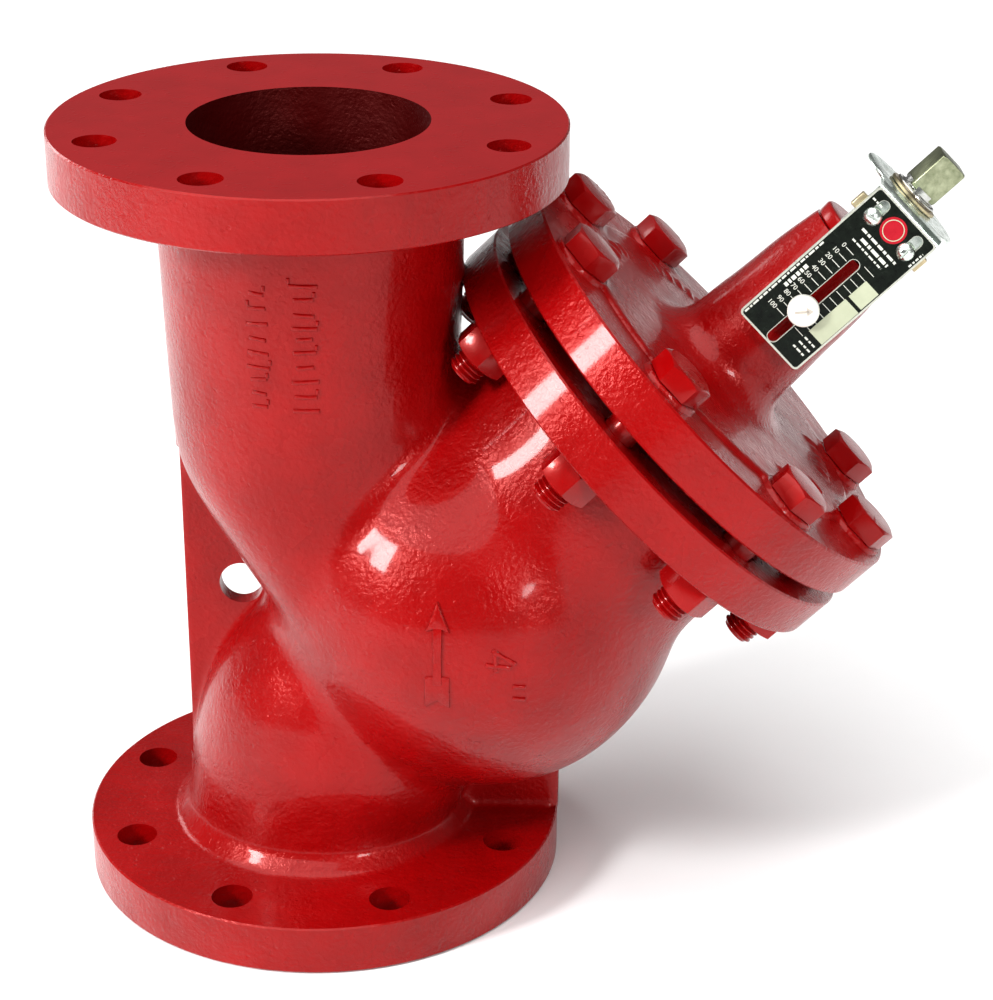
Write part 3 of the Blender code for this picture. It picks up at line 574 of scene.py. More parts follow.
def body_core():
    """Necks and chamber fused and softened, then flange roots and ribs added and softened a little."""
    chamber = [(0.0, WAIST - 1.3), (59.0 + SHRINK, WAIST - 1.3)]
    chamber += [(radius + SHRINK, station) for station, radius in eased(CHAMBER, 5)]
    chamber += [(0.0, BODY_BACK + 4.0)]
    core = joined("valve_body", [
        solid("lower_neck", loft(LOWER_NECK, grow=SHRINK), PIPE),
        solid("upper_neck", loft(UPPER_NECK, grow=SHRINK), PIPE),
        solid("chamber", turned(chamber, FINE), COVER)])
    cast(core, 2.5, 75)
    top = HEIGHT - FLANGE_T
    fillet = [(0.0, 20.0), (74.0, 20.0), (70.5, 26.5), (66.5, 31.0), (0.0, 31.0)]
    core = joined("valve_body", [
        core,
        solid("inlet_root", rod(112.0, 2.0, FLANGE_T - 0.3, FINE), PIPE),
        solid("inlet_fillet", turned(fillet, FINE), PIPE),
        solid("outlet_root", rod(112.0, top + 0.3, HEIGHT - 2.0, FINE), PIPE),
        solid("cover_root", rod(111.5, BODY_BACK + 0.3, BODY_FACE - 2.0, FINE), COVER),
        solid("left_rib", box((WEB_EDGE - 2.0, -WEB_HALF - 0.4, 20.0), (0.0, WEB_HALF + 0.4, 235.0)), PIPE),
        solid("right_rib", box((40.0, -WEB_HALF - 0.4, 20.0), (FLANGE_R + 0.5, WEB_HALF + 0.4, 70.0)), PIPE)])
    return cast(core, 1.6, 16)


def seat_side():
    """Room for the seat ring and the space above it, along the cover axis."""
    pocket = [(0.0, SEAT_BOTTOM), (SEAT_POCKET_R, SEAT_BOTTOM), (SEAT_POCKET_R, SEAT_TOP - 2.0)]
    inner = [(radius - WALL, station) for station, radius in eased(CHAMBER, 4) if SEAT_TOP < station < 190.0]
    throat = [(OPENING_R, 190.0), (OPENING_R, BODY_FACE + 5.0), (0.0, BODY_FACE + 5.0)]
    return turned(pocket + inner + throat, FINE)


def on_pipe_face(centre, normal):
    """True on the faced ends of the two pipe flanges."""
    return abs(normal.z) > 0.9 and (centre.z > (HEIGHT - 1.0) * MM or centre.z < MM)


def in_painted_shade_bore(centre, normal):
    """True on the bore walls near the two pipe flanges, which get painted shade."""
    across = Vector((centre.x - CROSSING.x, centre.y))
    inward = across.x * normal.x + across.y * normal.y < 0.0
    return inward and across.length < (BORE_R + 2.5) * MM and not PAINTED_SHADE_TO < centre.z / MM < PAINTED_SHADE_FROM


def casting_body():
    """The one-piece body: soft casting, crisp faced flanges, passages and holes."""
    body = body_core()
    trims = [solid("rib_trim", box((WEB_EDGE - 12.0, -20.0, 52.0), (WEB_EDGE, 20.0, 214.0)), PIPE)]
    combined(body, trims, "DIFFERENCE")
    rings = [solid("inlet_ring", flange_ring(FLANGE_R, 0.0, FLANGE_T, 0.7), PIPE),
             solid("outlet_ring", flange_ring(FLANGE_R, HEIGHT - FLANGE_T, HEIGHT, 0.7), PIPE),
             solid("cover_ring", flange_ring(COVER_R, BODY_BACK, BODY_FACE, 0.8), COVER)]
    combined(body, rings, "UNION")
    inlet = [(0.0, -5.0, 0.0, BORE_R), (0.0, 30.0, 0.0, BORE_R), (2.4, 46.0, 14.0, 53.6),
             (5.6, 64.0, 30.0, 52.5), (15.0, 80.0, 45.0, 47.0), waist_section(1.0, SEAT_R, 0.0)]
    outlet = [(25.5, 93.5, 45.0, 50.0), (16.0, 135.7, 30.0, 52.0), (6.3, 181.4, 15.0, 55.0),
              (0.0, 221.0, 0.0, 54.6), (0.0, 260.0, 0.0, BORE_R), (0.0, HEIGHT + 5.0, 0.0, BORE_R)]
    x, z, radius = WEB_OPENING
    opening = facing(rod(radius, -30.0, 30.0, MEDIUM), x, z)
    cuts = [solid("chamber_space", seat_side(), COVER),
            solid("outlet_passage", loft(outlet, 5, 96), PIPE),
            solid("inlet_passage", loft(inlet, 5, 96), PIPE),
            solid("rib_opening", opening, PIPE),
            solid("inlet_holes", pipe_holes(-5.0, FLANGE_T + 3.0), PIPE),
            solid("outlet_holes", pipe_holes(HEIGHT - FLANGE_T - 3.0, HEIGHT + 5.0), PIPE),
            solid("cover_holes", cover_holes(BODY_BACK - 3.0, BODY_FACE + 3.0), COVER)]
    combined(body, cuts, "DIFFERENCE")
    shown(body, CAST_RED, "housing", ("body",))
    face_look(body, FACED_RED, on_pipe_face)
    # Painted shade: the bore walls near the pipe flanges get the darkened enamel.
    face_look(body, BORE_PAINTED_SHADE, in_painted_shade_bore)
    return body


# ---------------- cover
def cover_outline():
    """Dome, tower and underside of the cover, without its bolting flange."""
    dome = arc(42.5, PLATEAU + 14.0, 14.0, 270.0, 184.0, 12)
    tower = eased([(27.6, 288.0), (26.6, 300.0), (25.6, 320.0), (23.6, TOWER_TOP - 2.0)], 4)
    return ([(0.0, BODY_FACE + 4.0), (GASKET_R, BODY_FACE + 4.0), (GASKET_R, COVER_BACK + 3.0),
             (110.0, COVER_BACK + 3.0), (110.0, COVER_FRONT - 1.0), (PLATEAU_R, COVER_FRONT - 1.0),
             (PLATEAU_R, PLATEAU)] + dome + tower + [(22.6, TOWER_TOP + 3.0), (0.0, TOWER_TOP + 3.0)])


def cast_marks():
    """Generic raised dashes around the cover, in place of foundry lettering."""
    marks = []
    pick = random.Random(7)
    for start, count in ((96.0, 6), (152.0, 4), (300.0, 6), (355.0, 5)):
        for index in range(count):
            angle = math.radians(start + 6.0 * index + pick.uniform(-0.8, 0.8))
            reach = 72.0 + pick.uniform(-1.0, 1.0)
            half = pick.uniform(1.4, 2.6)
            low = (reach - 2.6 - half, -1.0, PLATEAU - 2.0)
            mark = box(low, (reach + 2.6, 1.0 + half * 0.4, PLATEAU + 1.3))
            marks.append(solid("cast_mark", laid(mark, angle, "Z"), COVER))
    return marks


def casting_cover():
    """Bolted cover with plateau, bolt pads, domed root and tapered tower."""
    pads = hole_ring(PAD_R, COVER_BOLT_R, COVER_BOLTS, COVER_FRONT - 3.0, PAD_TOP + 0.4)
    cover = joined("valve_cover", [solid("cover_core", turned(cover_outline(), FINE), COVER),
                                   solid("bolt_pads", pads, COVER)] + cast_marks())
    cast(cover, 1.25, 7)
    rings = [solid("cover_ring", flange_ring(COVER_R, COVER_BACK, COVER_FRONT, 0.9), COVER),
             solid("cover_spigot", rod(GASKET_R, BODY_FACE + 2.0, COVER_BACK + 3.0, FINE), COVER)]
    combined(cover, rings, "UNION")
    trim = rod(60.0, TOWER_TOP, TOWER_TOP + 12.0, MEDIUM)
    bore = turned([(0.0, 200.0), (27.5, 200.0), (27.5, 204.0), (18.0, 205.0), (13.0, 214.0), (13.0, 262.0),
                   (18.1, 262.0), (18.1, TOWER_TOP + 5.0), (0.0, TOWER_TOP + 5.0)], MEDIUM)
    pin_hole = facing(rod(2.2, 10.0, 40.0, SMALL), 0.0, POINTER_STATION)
    spots = hole_ring(SPOT_R, COVER_BOLT_R, COVER_BOLTS, PAD_TOP, PAD_TOP + 8.0)
    cuts = [solid("tower_trim", trim, COVER), solid("stem_bore", bore, COVER),
            solid("bolt_spots", spots, COVER),
            solid("cover_drills", cover_holes(COVER_BACK - 3.0, PAD_TOP + 3.0), COVER),
            solid("pin_hole", pin_hole, INDICATOR)]
    combined(cover, cuts, "DIFFERENCE")
    shown(cover, CAST_RED, "housing", ("cover",))


def packing_nut():
    """Painted cap ring that closes the tower."""
    bore = STEM_R + GAP
    outline = [(bore, 331.0), (17.8, 331.0), (17.8, TOWER_TOP + 0.3), (21.8, TOWER_TOP + 0.3)]
    outline += arc(21.6, TOWER_TOP + 1.6, 1.1, 270.0, 360.0, 4) + arc(21.3, NUT_TOP - 1.6, 1.6, 0.0, 90.0, 5)
    outline += [(bore + 0.8, NUT_TOP), (bore, NUT_TOP - 0.8)]
    nut = solid("packing_cap", turned(outline, 96), COVER)
    shown(nut, BOLT_RED, "housing", ("packing_nut",))


# ---------------- bolting
def bolt_spot(index):
    """Centre of one cover bolt and the angle it lies at."""
    angle = TURN * (index + 0.5) / COVER_BOLTS
    return (COVER_BOLT_R * math.cos(angle), COVER_BOLT_R * math.sin(angle)), angle


def hex_prism(half_flats, low, high, roll):
    """Hexagonal prism."""
    corner = half_flats / math.cos(TURN / 12.0)
    return turned([(0.0, low), (corner, low), (corner, high), (0.0, high)], 6, turn=roll)


def rounding_tool(half_flats, low, high, both):
    """Turned shape whose cones take the corners off a hexagon."""
    corner = half_flats / math.cos(TURN / 12.0) + 0.4
    drop = 0.5 * (corner - half_flats + 0.7)
    start = [(0.0, low), (corner, low)]
    if both:
        start = [(0.0, low), (half_flats - 0.7, low), (corner, low + drop)]
    return turned(start + [(corner, high - drop), (half_flats - 0.7, high), (0.0, high)], MEDIUM)


def threaded_end(low, high, radius):
    """Turned thread ridges between two stations."""
    outline = [(0.0, low), (radius - 1.6, low)]
    ridges = int((high - low) / THREAD_PITCH)
    for index in range(ridges):
        station = low + 0.9 + index * THREAD_PITCH
        outline += [(radius - 1.25, station), (radius, station + 0.42 * THREAD_PITCH),
                    (radius, station + 0.58 * THREAD_PITCH)]
    outline += [(radius - 0.2, high), (0.0, high)]
    return turned(outline, MEDIUM)


def cover_bolting():
    """Eight hex bolts from the cover side and their nuts behind the body flange."""
    seat = PAD_TOP + GAP
    nut_low = BODY_BACK - GAP - NUT_H
    for index in range(COVER_BOLTS):
        centre, angle = bolt_spot(index)
        spot = COVER @ Matrix.Translation((centre[0] * MM, centre[1] * MM, 0.0))
        number = index + 1
        head_roll = angle + math.radians(HEAD_ROLLS[index])
        head = solid("bolt_head_%d" % number, hex_prism(HEX_HALF, seat, seat + HEAD_H, head_roll), spot)
        combined(head, [solid("head_round", rounding_tool(HEX_HALF, seat, seat + HEAD_H, False), spot)],
                 "INTERSECT")
        bevelled(head, 0.35, 2, 20.0)
        shank = solid("shank", turned([(0.0, nut_low - 0.5), (BOLT_R, nut_low - 0.5), (BOLT_R, seat + 2.0),
                                       (0.0, seat + 2.0)], MEDIUM), spot)
        thread = solid("thread", threaded_end(nut_low - THREAD_END, nut_low + 2.0, BOLT_R), spot)
        combined(head, [shank, thread], "UNION")
        shown(head, BOLT_RED, "housing", ("cover_bolt_%d" % number,), 18.0)
        nut_roll = angle + math.radians(HEAD_ROLLS[-index])
        nut = solid("hex_nut_%d" % number, hex_prism(HEX_HALF, nut_low, nut_low + NUT_H, nut_roll), spot)
        combined(nut, [solid("nut_round", rounding_tool(HEX_HALF, nut_low, nut_low + NUT_H, True), spot)],
                 "INTERSECT")
        bore = turned([(0.0, nut_low - 2.0), (BOLT_R + 2.4, nut_low - 2.0), (BOLT_R + GAP, nut_low + 1.2),
                       (BOLT_R + GAP, nut_low + NUT_H + 2.0), (0.0, nut_low + NUT_H + 2.0)], SMALL)
        combined(nut, [solid("nut_bore", bore, spot)], "DIFFERENCE")
        bevelled(nut, 0.35, 2, 20.0)
        shown(nut, BOLT_RED, "housing", ("cover_nut_%d" % number,), 18.0)


# ---------------- raised marks on the body
def wrapped(name, outlines, height, body):
    """Raised marks: flat outlines in (x, z) laid on the body from the front and given a round-edged rim."""
    depsgraph = bpy.context.evaluated_depsgraph_get()
    tree = BVHTree.FromObject(body, depsgraph)
    shape = bmesh.new()
    for outline in outlines:
        count = len(outline)
        middle = Vector((sum(x for x, z in outline) / count, sum(z for x, z in outline) / count))
        rings = []
        for inset, rise in ((0.0, -0.8), (0.0, height * 0.45), (0.28, height * 0.85), (0.7, height)):
            ring = []
            for x, z in outline:
                spot = Vector((x, z))
                away = middle - spot
                spot += away.normalized() * min(inset, away.length * 0.45)
                origin = PIPE @ Vector((spot.x * MM, -0.2, spot.y * MM))
                hit, normal = tree.ray_cast(origin, Vector((0.0, 1.0, 0.0)))[:2]
                ring.append((hit + normal * rise * MM) / MM)
            rings.append(ring)
        skin(shape, rings)
    bmesh.ops.triangulate(shape, faces=[face for face in shape.faces if len(face.verts) > 4])
    shown(solid(name, shape), CAST_RED, "housing", sharp=60.0)


def strip(start, end, half, steps=6):
    """Outline of a straight raised stroke between two points."""
    a, b = Vector(start), Vector(end)
    along = (b - a).normalized()
    side = Vector((-along.y, along.x)) * half
    left = [a + side + (b - a) * index / steps for index in range(steps + 1)]
    right = [b - side - (b - a) * index / steps for index in range(steps + 1)]
    return [(point.x, point.y) for point in left + right]


def flow_marks(body):
    """Raised flow arrow with a notched tail, and a size numeral with two ticks."""
    head = [(54.0, 166.0), (55.8, 170.3), (57.5, 174.4), (59.2, 179.0), (61.0, 174.4), (62.8, 170.3),
            (64.6, 166.0), (61.0, 167.2), (57.6, 167.2)]
    wrapped("flow_arrow_head", [head], 1.30, body)
    wrapped("flow_arrow_shaft", [strip((59.3, 168.6), (59.2, 141.0), 1.9, 14)], 1.15, body)
    tail = [(53.6, 129.4), (56.4, 131.3), (59.1, 133.2), (61.8, 131.4), (64.6, 129.8), (64.6, 134.4),
            (64.6, 139.0), (64.6, 145.0), (61.8, 145.3), (59.1, 145.2), (56.4, 145.0), (53.6, 144.4),
            (53.6, 139.0), (53.6, 134.0)]
    wrapped("flow_arrow_tail", [tail], 1.0, body)
    four = [strip((83.2, 158.0), (93.6, 151.2), 0.9, 8), strip((80.4, 151.6), (91.6, 149.6), 0.9, 8),
            strip((84.2, 158.6), (84.8, 147.8), 0.9, 8)]
    ticks = [strip((92.2, 140.4), (97.8, 139.4), 0.8), strip((92.2, 134.2), (97.8, 133.0), 0.8)]
    wrapped("size_mark", four + ticks, 0.9, body)


def foundry_marks(body):
    """Two columns of plain raised dashes on the neck, in place of foundry lettering."""
    pick = random.Random(3)
    outlines = []
    for column, low, high, half in ((-18.2, 259.0, 317.0, 5.4), (2.0, 258.0, 320.0, 6.2)):
        station = low
        while station < high:
            wide = half * pick.uniform(0.55, 1.0)
            end = (column + wide, station + pick.uniform(-0.8, 0.8))
            outlines.append(strip((column - wide, station), end, 0.8, 4))
            if pick.random() < 0.6:
                side = column + wide * pick.choice((-1.0, 1.0))
                outlines.append(strip((side, station + 1.2), (side, station + 3.6), 0.7, 3))
            station += pick.uniform(5.2, 7.4)
    wrapped("foundry_dashes", outlines, 0.7, body)


# ---------------- stem and bracket
def stem():
    """Stem barrel, shoulder, groove and square drive end."""
    tip = HUB_CLOSED + REST_LIFT + GAP
    shoulder = DISC_PLATE_BOTTOM - GAP
    groove = DISC_PLATE_BOTTOM + DISC_PLATE_T + 3.6
    outline = [(0.0, tip - 17.7), (7.0, tip - 17.7), (8.0, tip - 16.7), (8.0, tip), (STEM_R - 1.0, tip),
               (STEM_R, tip + 1.0), (STEM_R, shoulder - 0.5), (STEM_R - 0.5, shoulder),
               (STEM_NECK_R, shoulder), (STEM_NECK_R, groove), (8.2, groove + 0.5),
               (8.2, SQUARE_BOTTOM + 2.0), (0.0, SQUARE_BOTTOM + 2.0)]
    barrel = solid("stem_barrel", turned(outline, MEDIUM), COVER)
    shown(barrel, STAINLESS, "stem", ("stem",))
    corner = SQUARE_HALF * math.sqrt(2.0)
    side = [(0.0, SQUARE_BOTTOM), (corner, SQUARE_BOTTOM), (corner, SQUARE_TOP), (0.0, SQUARE_TOP)]
    block = turned(side, 4, turn=TURN / 8.0 + SQUARE_ROLL)
    square = solid("stem_square", block, COVER)
    crown = turned([(0.0, SQUARE_BOTTOM - 1.0), (8.8, SQUARE_BOTTOM - 1.0),
                    (corner - 0.3, SQUARE_BOTTOM + 1.4), (corner - 0.3, SQUARE_TOP - 0.7),
                    (corner - 1.5, SQUARE_TOP), (0.0, SQUARE_TOP)], MEDIUM)
    combined(square, [solid("crown", crown, COVER)], "INTERSECT")
    bevelled(square, 0.35, 2, 25.0)
    shown(square, SQUARE_STEEL, "stem")
    low = DISC_PLATE_BOTTOM + DISC_PLATE_T + GAP
    outline = [(9.7, low), (12.7, low), (13.0, low + 0.3), (13.0, low + 1.3), (12.7, low + 1.6),
               (9.7, low + 1.6)]
    washer = solid("brass_washer", turned(outline, MEDIUM), COVER)
    shown(washer, BRASS, "stem", ("retaining_washer",))
    start = low + 1.6 + GAP
    ring = arc(10.6, start + 0.6, 0.58, 0.0, 315.0, 7)
    wire = solid("snap_ring_wire", turned(ring, MEDIUM), COVER)
    shown(wire, STAINLESS, "stem", ("snap_ring",))


def bracket():
    """Pressed zinc-plated disc with a rolled rim and a folded tab."""
    top = DISC_PLATE_BOTTOM + DISC_PLATE_T
    back = PLATE_FRONT - PLATE_T - GAP
    rim = arc(BRACKET_R - 0.8, DISC_PLATE_BOTTOM + 1.0, 1.0, -90.0, 90.0, 8)
    dished = [(0.0, DISC_PLATE_BOTTOM)] + rim + [(0.0, top)]
    piece = solid("indicator_disc", turned(dished, 96), INDICATOR)
    fold = arc(-back + BEND_R, top - BEND_R, BEND_R, 90.0, 180.0, 8)
    inner = arc(-back + BEND_R, top - BEND_R, BEND_R - TAB_T, 180.0, 90.0, 5)
    side = [(-12.0, DISC_PLATE_BOTTOM), (-12.0, top)] + fold
    side += [(-back, 350.0), (-back + TAB_T, 350.0)] + inner
    half = PLATE_HALF_W
    tab = skin(bmesh.new(), [[Vector((x, y, z)) for y, z in side] for x in (-half, half)])
    combined(piece, [solid("tab", tab, INDICATOR)], "UNION")
    cuts = [solid("bore", rod(9.7, 360.0, 390.0, MEDIUM), INDICATOR)]
    for side_sign in (-1.0, 1.0):
        drill = rod(2.4, 20.0, 45.0, SMALL, (side_sign * SCREW_OFFSET, SCREW_STATION))
        cuts.append(solid("drill", laid(drill, TURN / 4.0, "X"), INDICATOR))
    combined(piece, cuts, "DIFFERENCE")
    bevelled(piece, 0.3, 2, 40.0)
    shown(piece, ZINC, "indicator", ("indicator_bracket",), 40.0)
    front = -(PLATE_FRONT - PLATE_T - 2.0 * GAP - TAB_T)
    bar = solid("tapped_bar", box((-20.5, front, 357.6), (20.5, front + 4.6, 365.0)), INDICATOR)
    bevelled(bar, 0.5, 3)
    shown(bar, BRASS, "indicator", ("plate_nut_bar",))


# ---------------- scale plate
def plate_front(layer):
    """Y of the front of a printed layer."""
    return -PLATE_FRONT - 0.06 * layer


def screw_slot(grow=0.0):
    """Outline of one short slot for a plate screw."""
    return slot_outline(2.5, SCREW_STATION - 2.8, SCREW_STATION + 9.0, 8, grow)


def plate():
    """Bright plate, black printed field with its border, and the slots through both."""
    back = -(PLATE_FRONT - PLATE_T)
    outer = rounded_outline(PLATE_HALF_W, PLATE_LOW, PLATE_HIGH, 2.2)
    inner = rounded_outline(PLATE_HALF_W - BORDER, PLATE_LOW + BORDER, PLATE_HIGH - BORDER, 1.5)
    metal = solid("scale_plate", slab(outer, -PLATE_FRONT, back), INDICATOR)
    field = solid("scale_field", slab(inner, plate_front(1), -PLATE_FRONT + 0.3), INDICATOR)
    for piece, grow in ((metal, 0.0), (field, 0.32)):
        cuts = [solid("slot", slab(slot_outline(SLOT_HALF_W, SLOT_LOW, SLOT_HIGH, 12, grow), -40.0, -30.0),
                      INDICATOR)]
        for side_sign in (-1.0, 1.0):
            cuts.append(solid("slot", slab(screw_slot(grow * 0.6), -40.0, -30.0, side_sign * SCREW_OFFSET),
                              INDICATOR))
        combined(piece, cuts, "DIFFERENCE")
    shown(metal, PLATE_METAL, "indicator", ("nameplate",))
    shown(field, PLATE_BLACK, "indicator")


def bars(name, spans, look):
    """Thin printed rectangles given as (low x, low station, high x, high station)."""
    shape = bmesh.new()
    for low_x, low_z, high_x, high_z in spans:
        box((low_x, plate_front(2), low_z), (high_x, plate_front(0), high_z), shape)
    shown(solid(name, shape, INDICATOR), look, "indicator")


def numerals():
    """Scale numbers from 0 to 100, reading across the plate towards the slot."""
    pieces = []
    for tenth in range(11):
        curve = bpy.data.curves.new("numeral", "FONT")
        curve.body = str(tenth * 10)
        curve.size = 3.1
        curve.align_x = "RIGHT"
        curve.align_y = "CENTER"
        curve.extrude = 0.05
        curve.resolution_u = 3
        text = bpy.data.objects.new("numeral", curve)
        bpy.context.scene.collection.objects.link(text)
        bpy.context.view_layer.update()
        mesh = bpy.data.meshes.new_from_object(text.evaluated_get(bpy.context.evaluated_depsgraph_get()))
        bpy.data.objects.remove(text)
        shape = bmesh.new()
        shape.from_mesh(mesh)
        laid(shape, TURN / 4.0, "X")
        moved(shape, (-8.8, plate_front(1), SCALE_CLOSED - SCALE_STEP * tenth))
        pieces.append(solid("numeral", shape, INDICATOR))
    shown(joined("scale_numerals", pieces), MARK_WHITE, "indicator")


def dash_row(x, low, high, half, lengths):
    """Row of printed dashes along the plate, in place of a line of text."""
    spans = []
    station = low
    index = 0
    while station < high:
        end = min(station + lengths[index % len(lengths)], high)
        spans.append((x - half, station, x + half, end))
        station = end + DASH_GAP
        index += 1
    return spans


def dash_line(station, low, high, half, lengths):
    """Row of printed dashes across the plate."""
    turned_row = dash_row(station, low, high, half, lengths)
    return [(low_z, low_x, high_z, high_x) for low_x, low_z, high_x, high_z in turned_row]


def printing():
    """Ticks, numbers, generic dashes, two pale fields and a plain red disc."""
    ticks = []
    for tenth in range(11):
        station = SCALE_CLOSED - SCALE_STEP * tenth
        ticks.append((-8.2, station - 0.16, -3.5, station + 0.16))
        ticks.append((3.5, station - 0.13, 8.6 if tenth else 9.6, station + 0.13))
    bars("scale_ticks", ticks, MARK_WHITE)
    numerals()
    rows = dash_row(-16.4, 293.0, 339.0, 0.45, (2.3, 1.1, 3.0, 1.6))
    rows += dash_row(-13.4, 313.5, 327.0, 0.95, (1.6, 1.2, 2.0))
    rows += dash_line(354.6, -9.5, 11.5, 0.6, (2.8, 1.6, 3.4))
    rows += dash_line(351.3, -6.5, 10.0, 0.75, (3.6, 1.5, 4.2))
    rows += dash_line(348.6, -9.0, 9.0, 0.4, (1.8, 2.6, 1.2))
    rows += dash_line(304.4, 9.6, 16.0, 0.42, (1.8, 1.2)) + dash_line(301.4, 9.2, 16.0, 0.42, (2.2, 1.4))
    rows += dash_line(298.4, 8.8, 16.0, 0.42, (1.4, 2.4)) + dash_line(366.8, -16.4, -10.2, 0.42, (1.6, 1.0))
    rows += dash_row(16.3, 358.0, 366.0, 0.4, (1.5, 1.0))
    bars("printed_dashes", rows, MARK_WHITE)
    bars("pale_fields", [(8.7, 307.5, 17.1, 328.7), (8.7, 330.4, 16.8, 340.5)], PLATE_PALE)
    disc = facing(rod(5.9, PLATE_FRONT, PLATE_FRONT + 0.12, MEDIUM), 0.0, RED_DISC_STATION)
    shown(solid("red_disc", disc, INDICATOR), PLATE_RED, "indicator")
    top = PLATE_FRONT + 0.17
    outline = [(4.4, PLATE_FRONT), (4.8, PLATE_FRONT), (4.8, top), (4.4, top)]
    ring = facing(turned(outline, MEDIUM), 0.0, RED_DISC_STATION)
    shown(solid("red_disc_ring", ring, INDICATOR), PLATE_PALE, "indicator")


def plate_screws():
    """Bright round-head screws with a driving slot."""
    for name, node, side_sign in (("round_screw_left", "plate_screw_left", -1.0),
                                  ("round_screw_right", "plate_screw_right", 1.0)):
        low = PLATE_FRONT + 0.2
        head = [(0.0, PLATE_FRONT - 7.6), (2.1, PLATE_FRONT - 7.6), (2.1, low), (4.1, low)]
        head += arc(0.0, low - 1.8, 4.55, 24.0, 90.0, 10)
        screw = solid(name, facing(turned(head, MEDIUM), side_sign * SCREW_OFFSET, SCREW_STATION), INDICATOR)
        cut = box((-5.0, -low - 4.0, -0.5), (5.0, -low - 1.7, 0.5))
        laid(cut, math.radians(35.0 + 50.0 * side_sign), "Y")
        moved(cut, (side_sign * SCREW_OFFSET, 0.0, SCREW_STATION))
        combined(screw, [solid("driving_slot", cut, INDICATOR)], "DIFFERENCE")
        shown(screw, ZINC, "indicator", (node,), 40.0)


def pointer():
    """White moulded button on its pin, with a small arrow."""
    low = PLATE_FRONT + 0.6
    outline = [(0.0, PLATE_FRONT + 3.7), (2.3, PLATE_FRONT + 3.7), (2.3, low), (6.6, low), (7.0, low + 0.4)]
    outline += arc(5.8, low + 3.2, 1.2, 0.0, 80.0, 6) + [(4.0, low + 4.6), (0.0, low + 4.7)]
    button = solid("white_button", facing(turned(outline, MEDIUM), 0.0, POINTER_STATION), INDICATOR)
    shown(button, BUTTON_WHITE, "housing", ("pointer_button",), 50.0)
    top = -(low + 4.72)
    stroke = box((-0.55, top - 0.12, -3.6), (0.55, top + 0.4, 2.4))
    head = [(-2.0, 1.6), (2.0, 1.6), (0.0, 4.4)]
    skin(stroke, [[Vector((x, y, z)) for x, z in head] for y in (top - 0.12, top + 0.4)])
    laid(stroke, math.radians(38.0), "Y")
    moved(stroke, (0.0, 0.0, POINTER_STATION))
    shown(solid("button_arrow", stroke, INDICATOR), BUTTON_GREY, "housing")


# ---------------- carried-over CAD nodes
def carried_over():
    """Better materials on the inner parts whose CAD shape is kept."""
    looks = {"cover_gasket": FIBRE, "seat_ring": BRONZE, "check_disc": BRONZE, "disc_seal": RUBBER,
             "seal_retainer": BRONZE, "disc_nut": BRONZE, "disc_spring": STAINLESS, "stem_bush": BRONZE,
             "stem_oring_lower": RUBBER, "stem_oring_upper": RUBBER, "oring_spacer": BRASS,
             "pointer_pin": BRASS}
    for name, look in looks.items():
        node = frame["nodes"][name]
        node.data.materials.clear()
        node.data.materials.append(look)


# ---------------- studio
def area_light(name, place, target, size, power):
    """Soft rectangular light aimed at a point."""
    data = bpy.data.lights.new(name, "AREA")
    data.shape = "RECTANGLE"
    data.size, data.size_y = size
    data.energy = power
    lamp = bpy.data.objects.new(name, data)
    lamp.location = place
    lamp.rotation_euler = (Vector(target) - Vector(place)).to_track_quat("-Z", "Y").to_euler()
    bpy.context.scene.collection.objects.link(lamp)


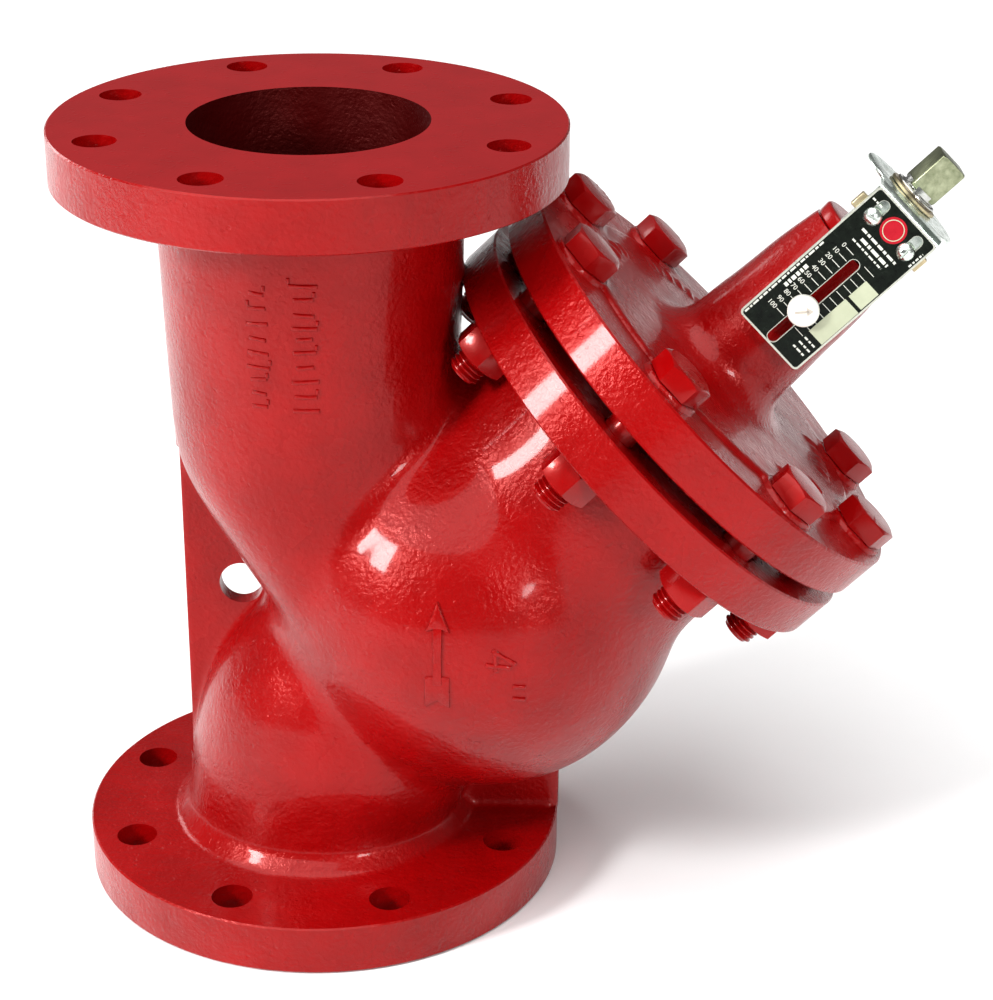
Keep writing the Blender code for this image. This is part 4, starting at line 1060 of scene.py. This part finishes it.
def studio():
    """Pale floor, even pale surroundings and soft lights."""
    shape = bmesh.new()
    bmesh.ops.create_circle(shape, cap_ends=True, segments=96, radius=FLOOR_R)
    floor = solid("studio_floor", shape)
    floor.location.z = -FLOOR_DROP
    floor.data.materials.append(FLOOR)
    world = bpy.data.worlds.new("studio_world")
    world.use_nodes = True
    world.node_tree.nodes["Background"].inputs["Color"].default_value = (1.0, 1.0, 1.0, 1.0)
    world.node_tree.nodes["Background"].inputs["Strength"].default_value = WORLD_LIGHT
    bpy.context.scene.world = world
    sky = bpy.data.lights.new("soft_overhead", "SUN")
    sky.energy = OVERHEAD_LIGHT
    sky.angle = math.radians(70.0)
    lamp = bpy.data.objects.new("soft_overhead", sky)
    lamp.rotation_euler = (math.radians(14.0), math.radians(-12.0), 0.0)
    bpy.context.scene.collection.objects.link(lamp)
    area_light("key_left", (-1.55, -1.02, 1.12), (0.04, -0.09, 0.29), (0.34, 0.50), 42.0)
    area_light("key_right", (1.05, -1.72, 0.95), (0.02, -0.08, 0.18), (0.36, 0.50), 20.0)
    area_light("rear_left", (-1.3, 1.1, 0.9), (0.0, 0.0, 0.2), (0.5, 0.8), 8.0)


def camera():
    """Camera at the photograph's angle, from its azimuth, elevation, roll and distance."""
    azimuth, elevation, roll = (math.radians(value) for value in VIEW_ANGLES)
    target = Vector((CROSSING.x + VIEW_SHIFT, 0.0, VIEW_HEIGHT))
    forward = Vector((-math.sin(azimuth) * math.cos(elevation), math.cos(azimuth) * math.cos(elevation),
                      -math.sin(elevation)))
    right = Vector((math.cos(azimuth), math.sin(azimuth), 0.0))
    up = right.cross(forward)
    leaned_right = right * math.cos(roll) + up * math.sin(roll)
    leaned_up = up * math.cos(roll) - right * math.sin(roll)
    turn = Matrix((leaned_right, leaned_up, -forward)).transposed().to_4x4()
    data = bpy.data.cameras.new("camera")
    data.sensor_fit = "HORIZONTAL"
    data.sensor_width = SENSOR
    data.lens = LENS
    data.clip_start = 0.05
    view = bpy.data.objects.new("camera", data)
    view.matrix_world = Matrix.Translation(target - forward * VIEW_DISTANCE) @ turn
    bpy.context.scene.collection.objects.link(view)
    bpy.context.scene.camera = view


camera()
studio()
valve_body = casting_body()
flow_marks(valve_body)
foundry_marks(valve_body)
casting_cover()
packing_nut()
cover_bolting()
stem()
bracket()
plate()
printing()
plate_screws()
pointer()
carried_over()

bpy.context.scene.view_settings.view_transform = "Standard"
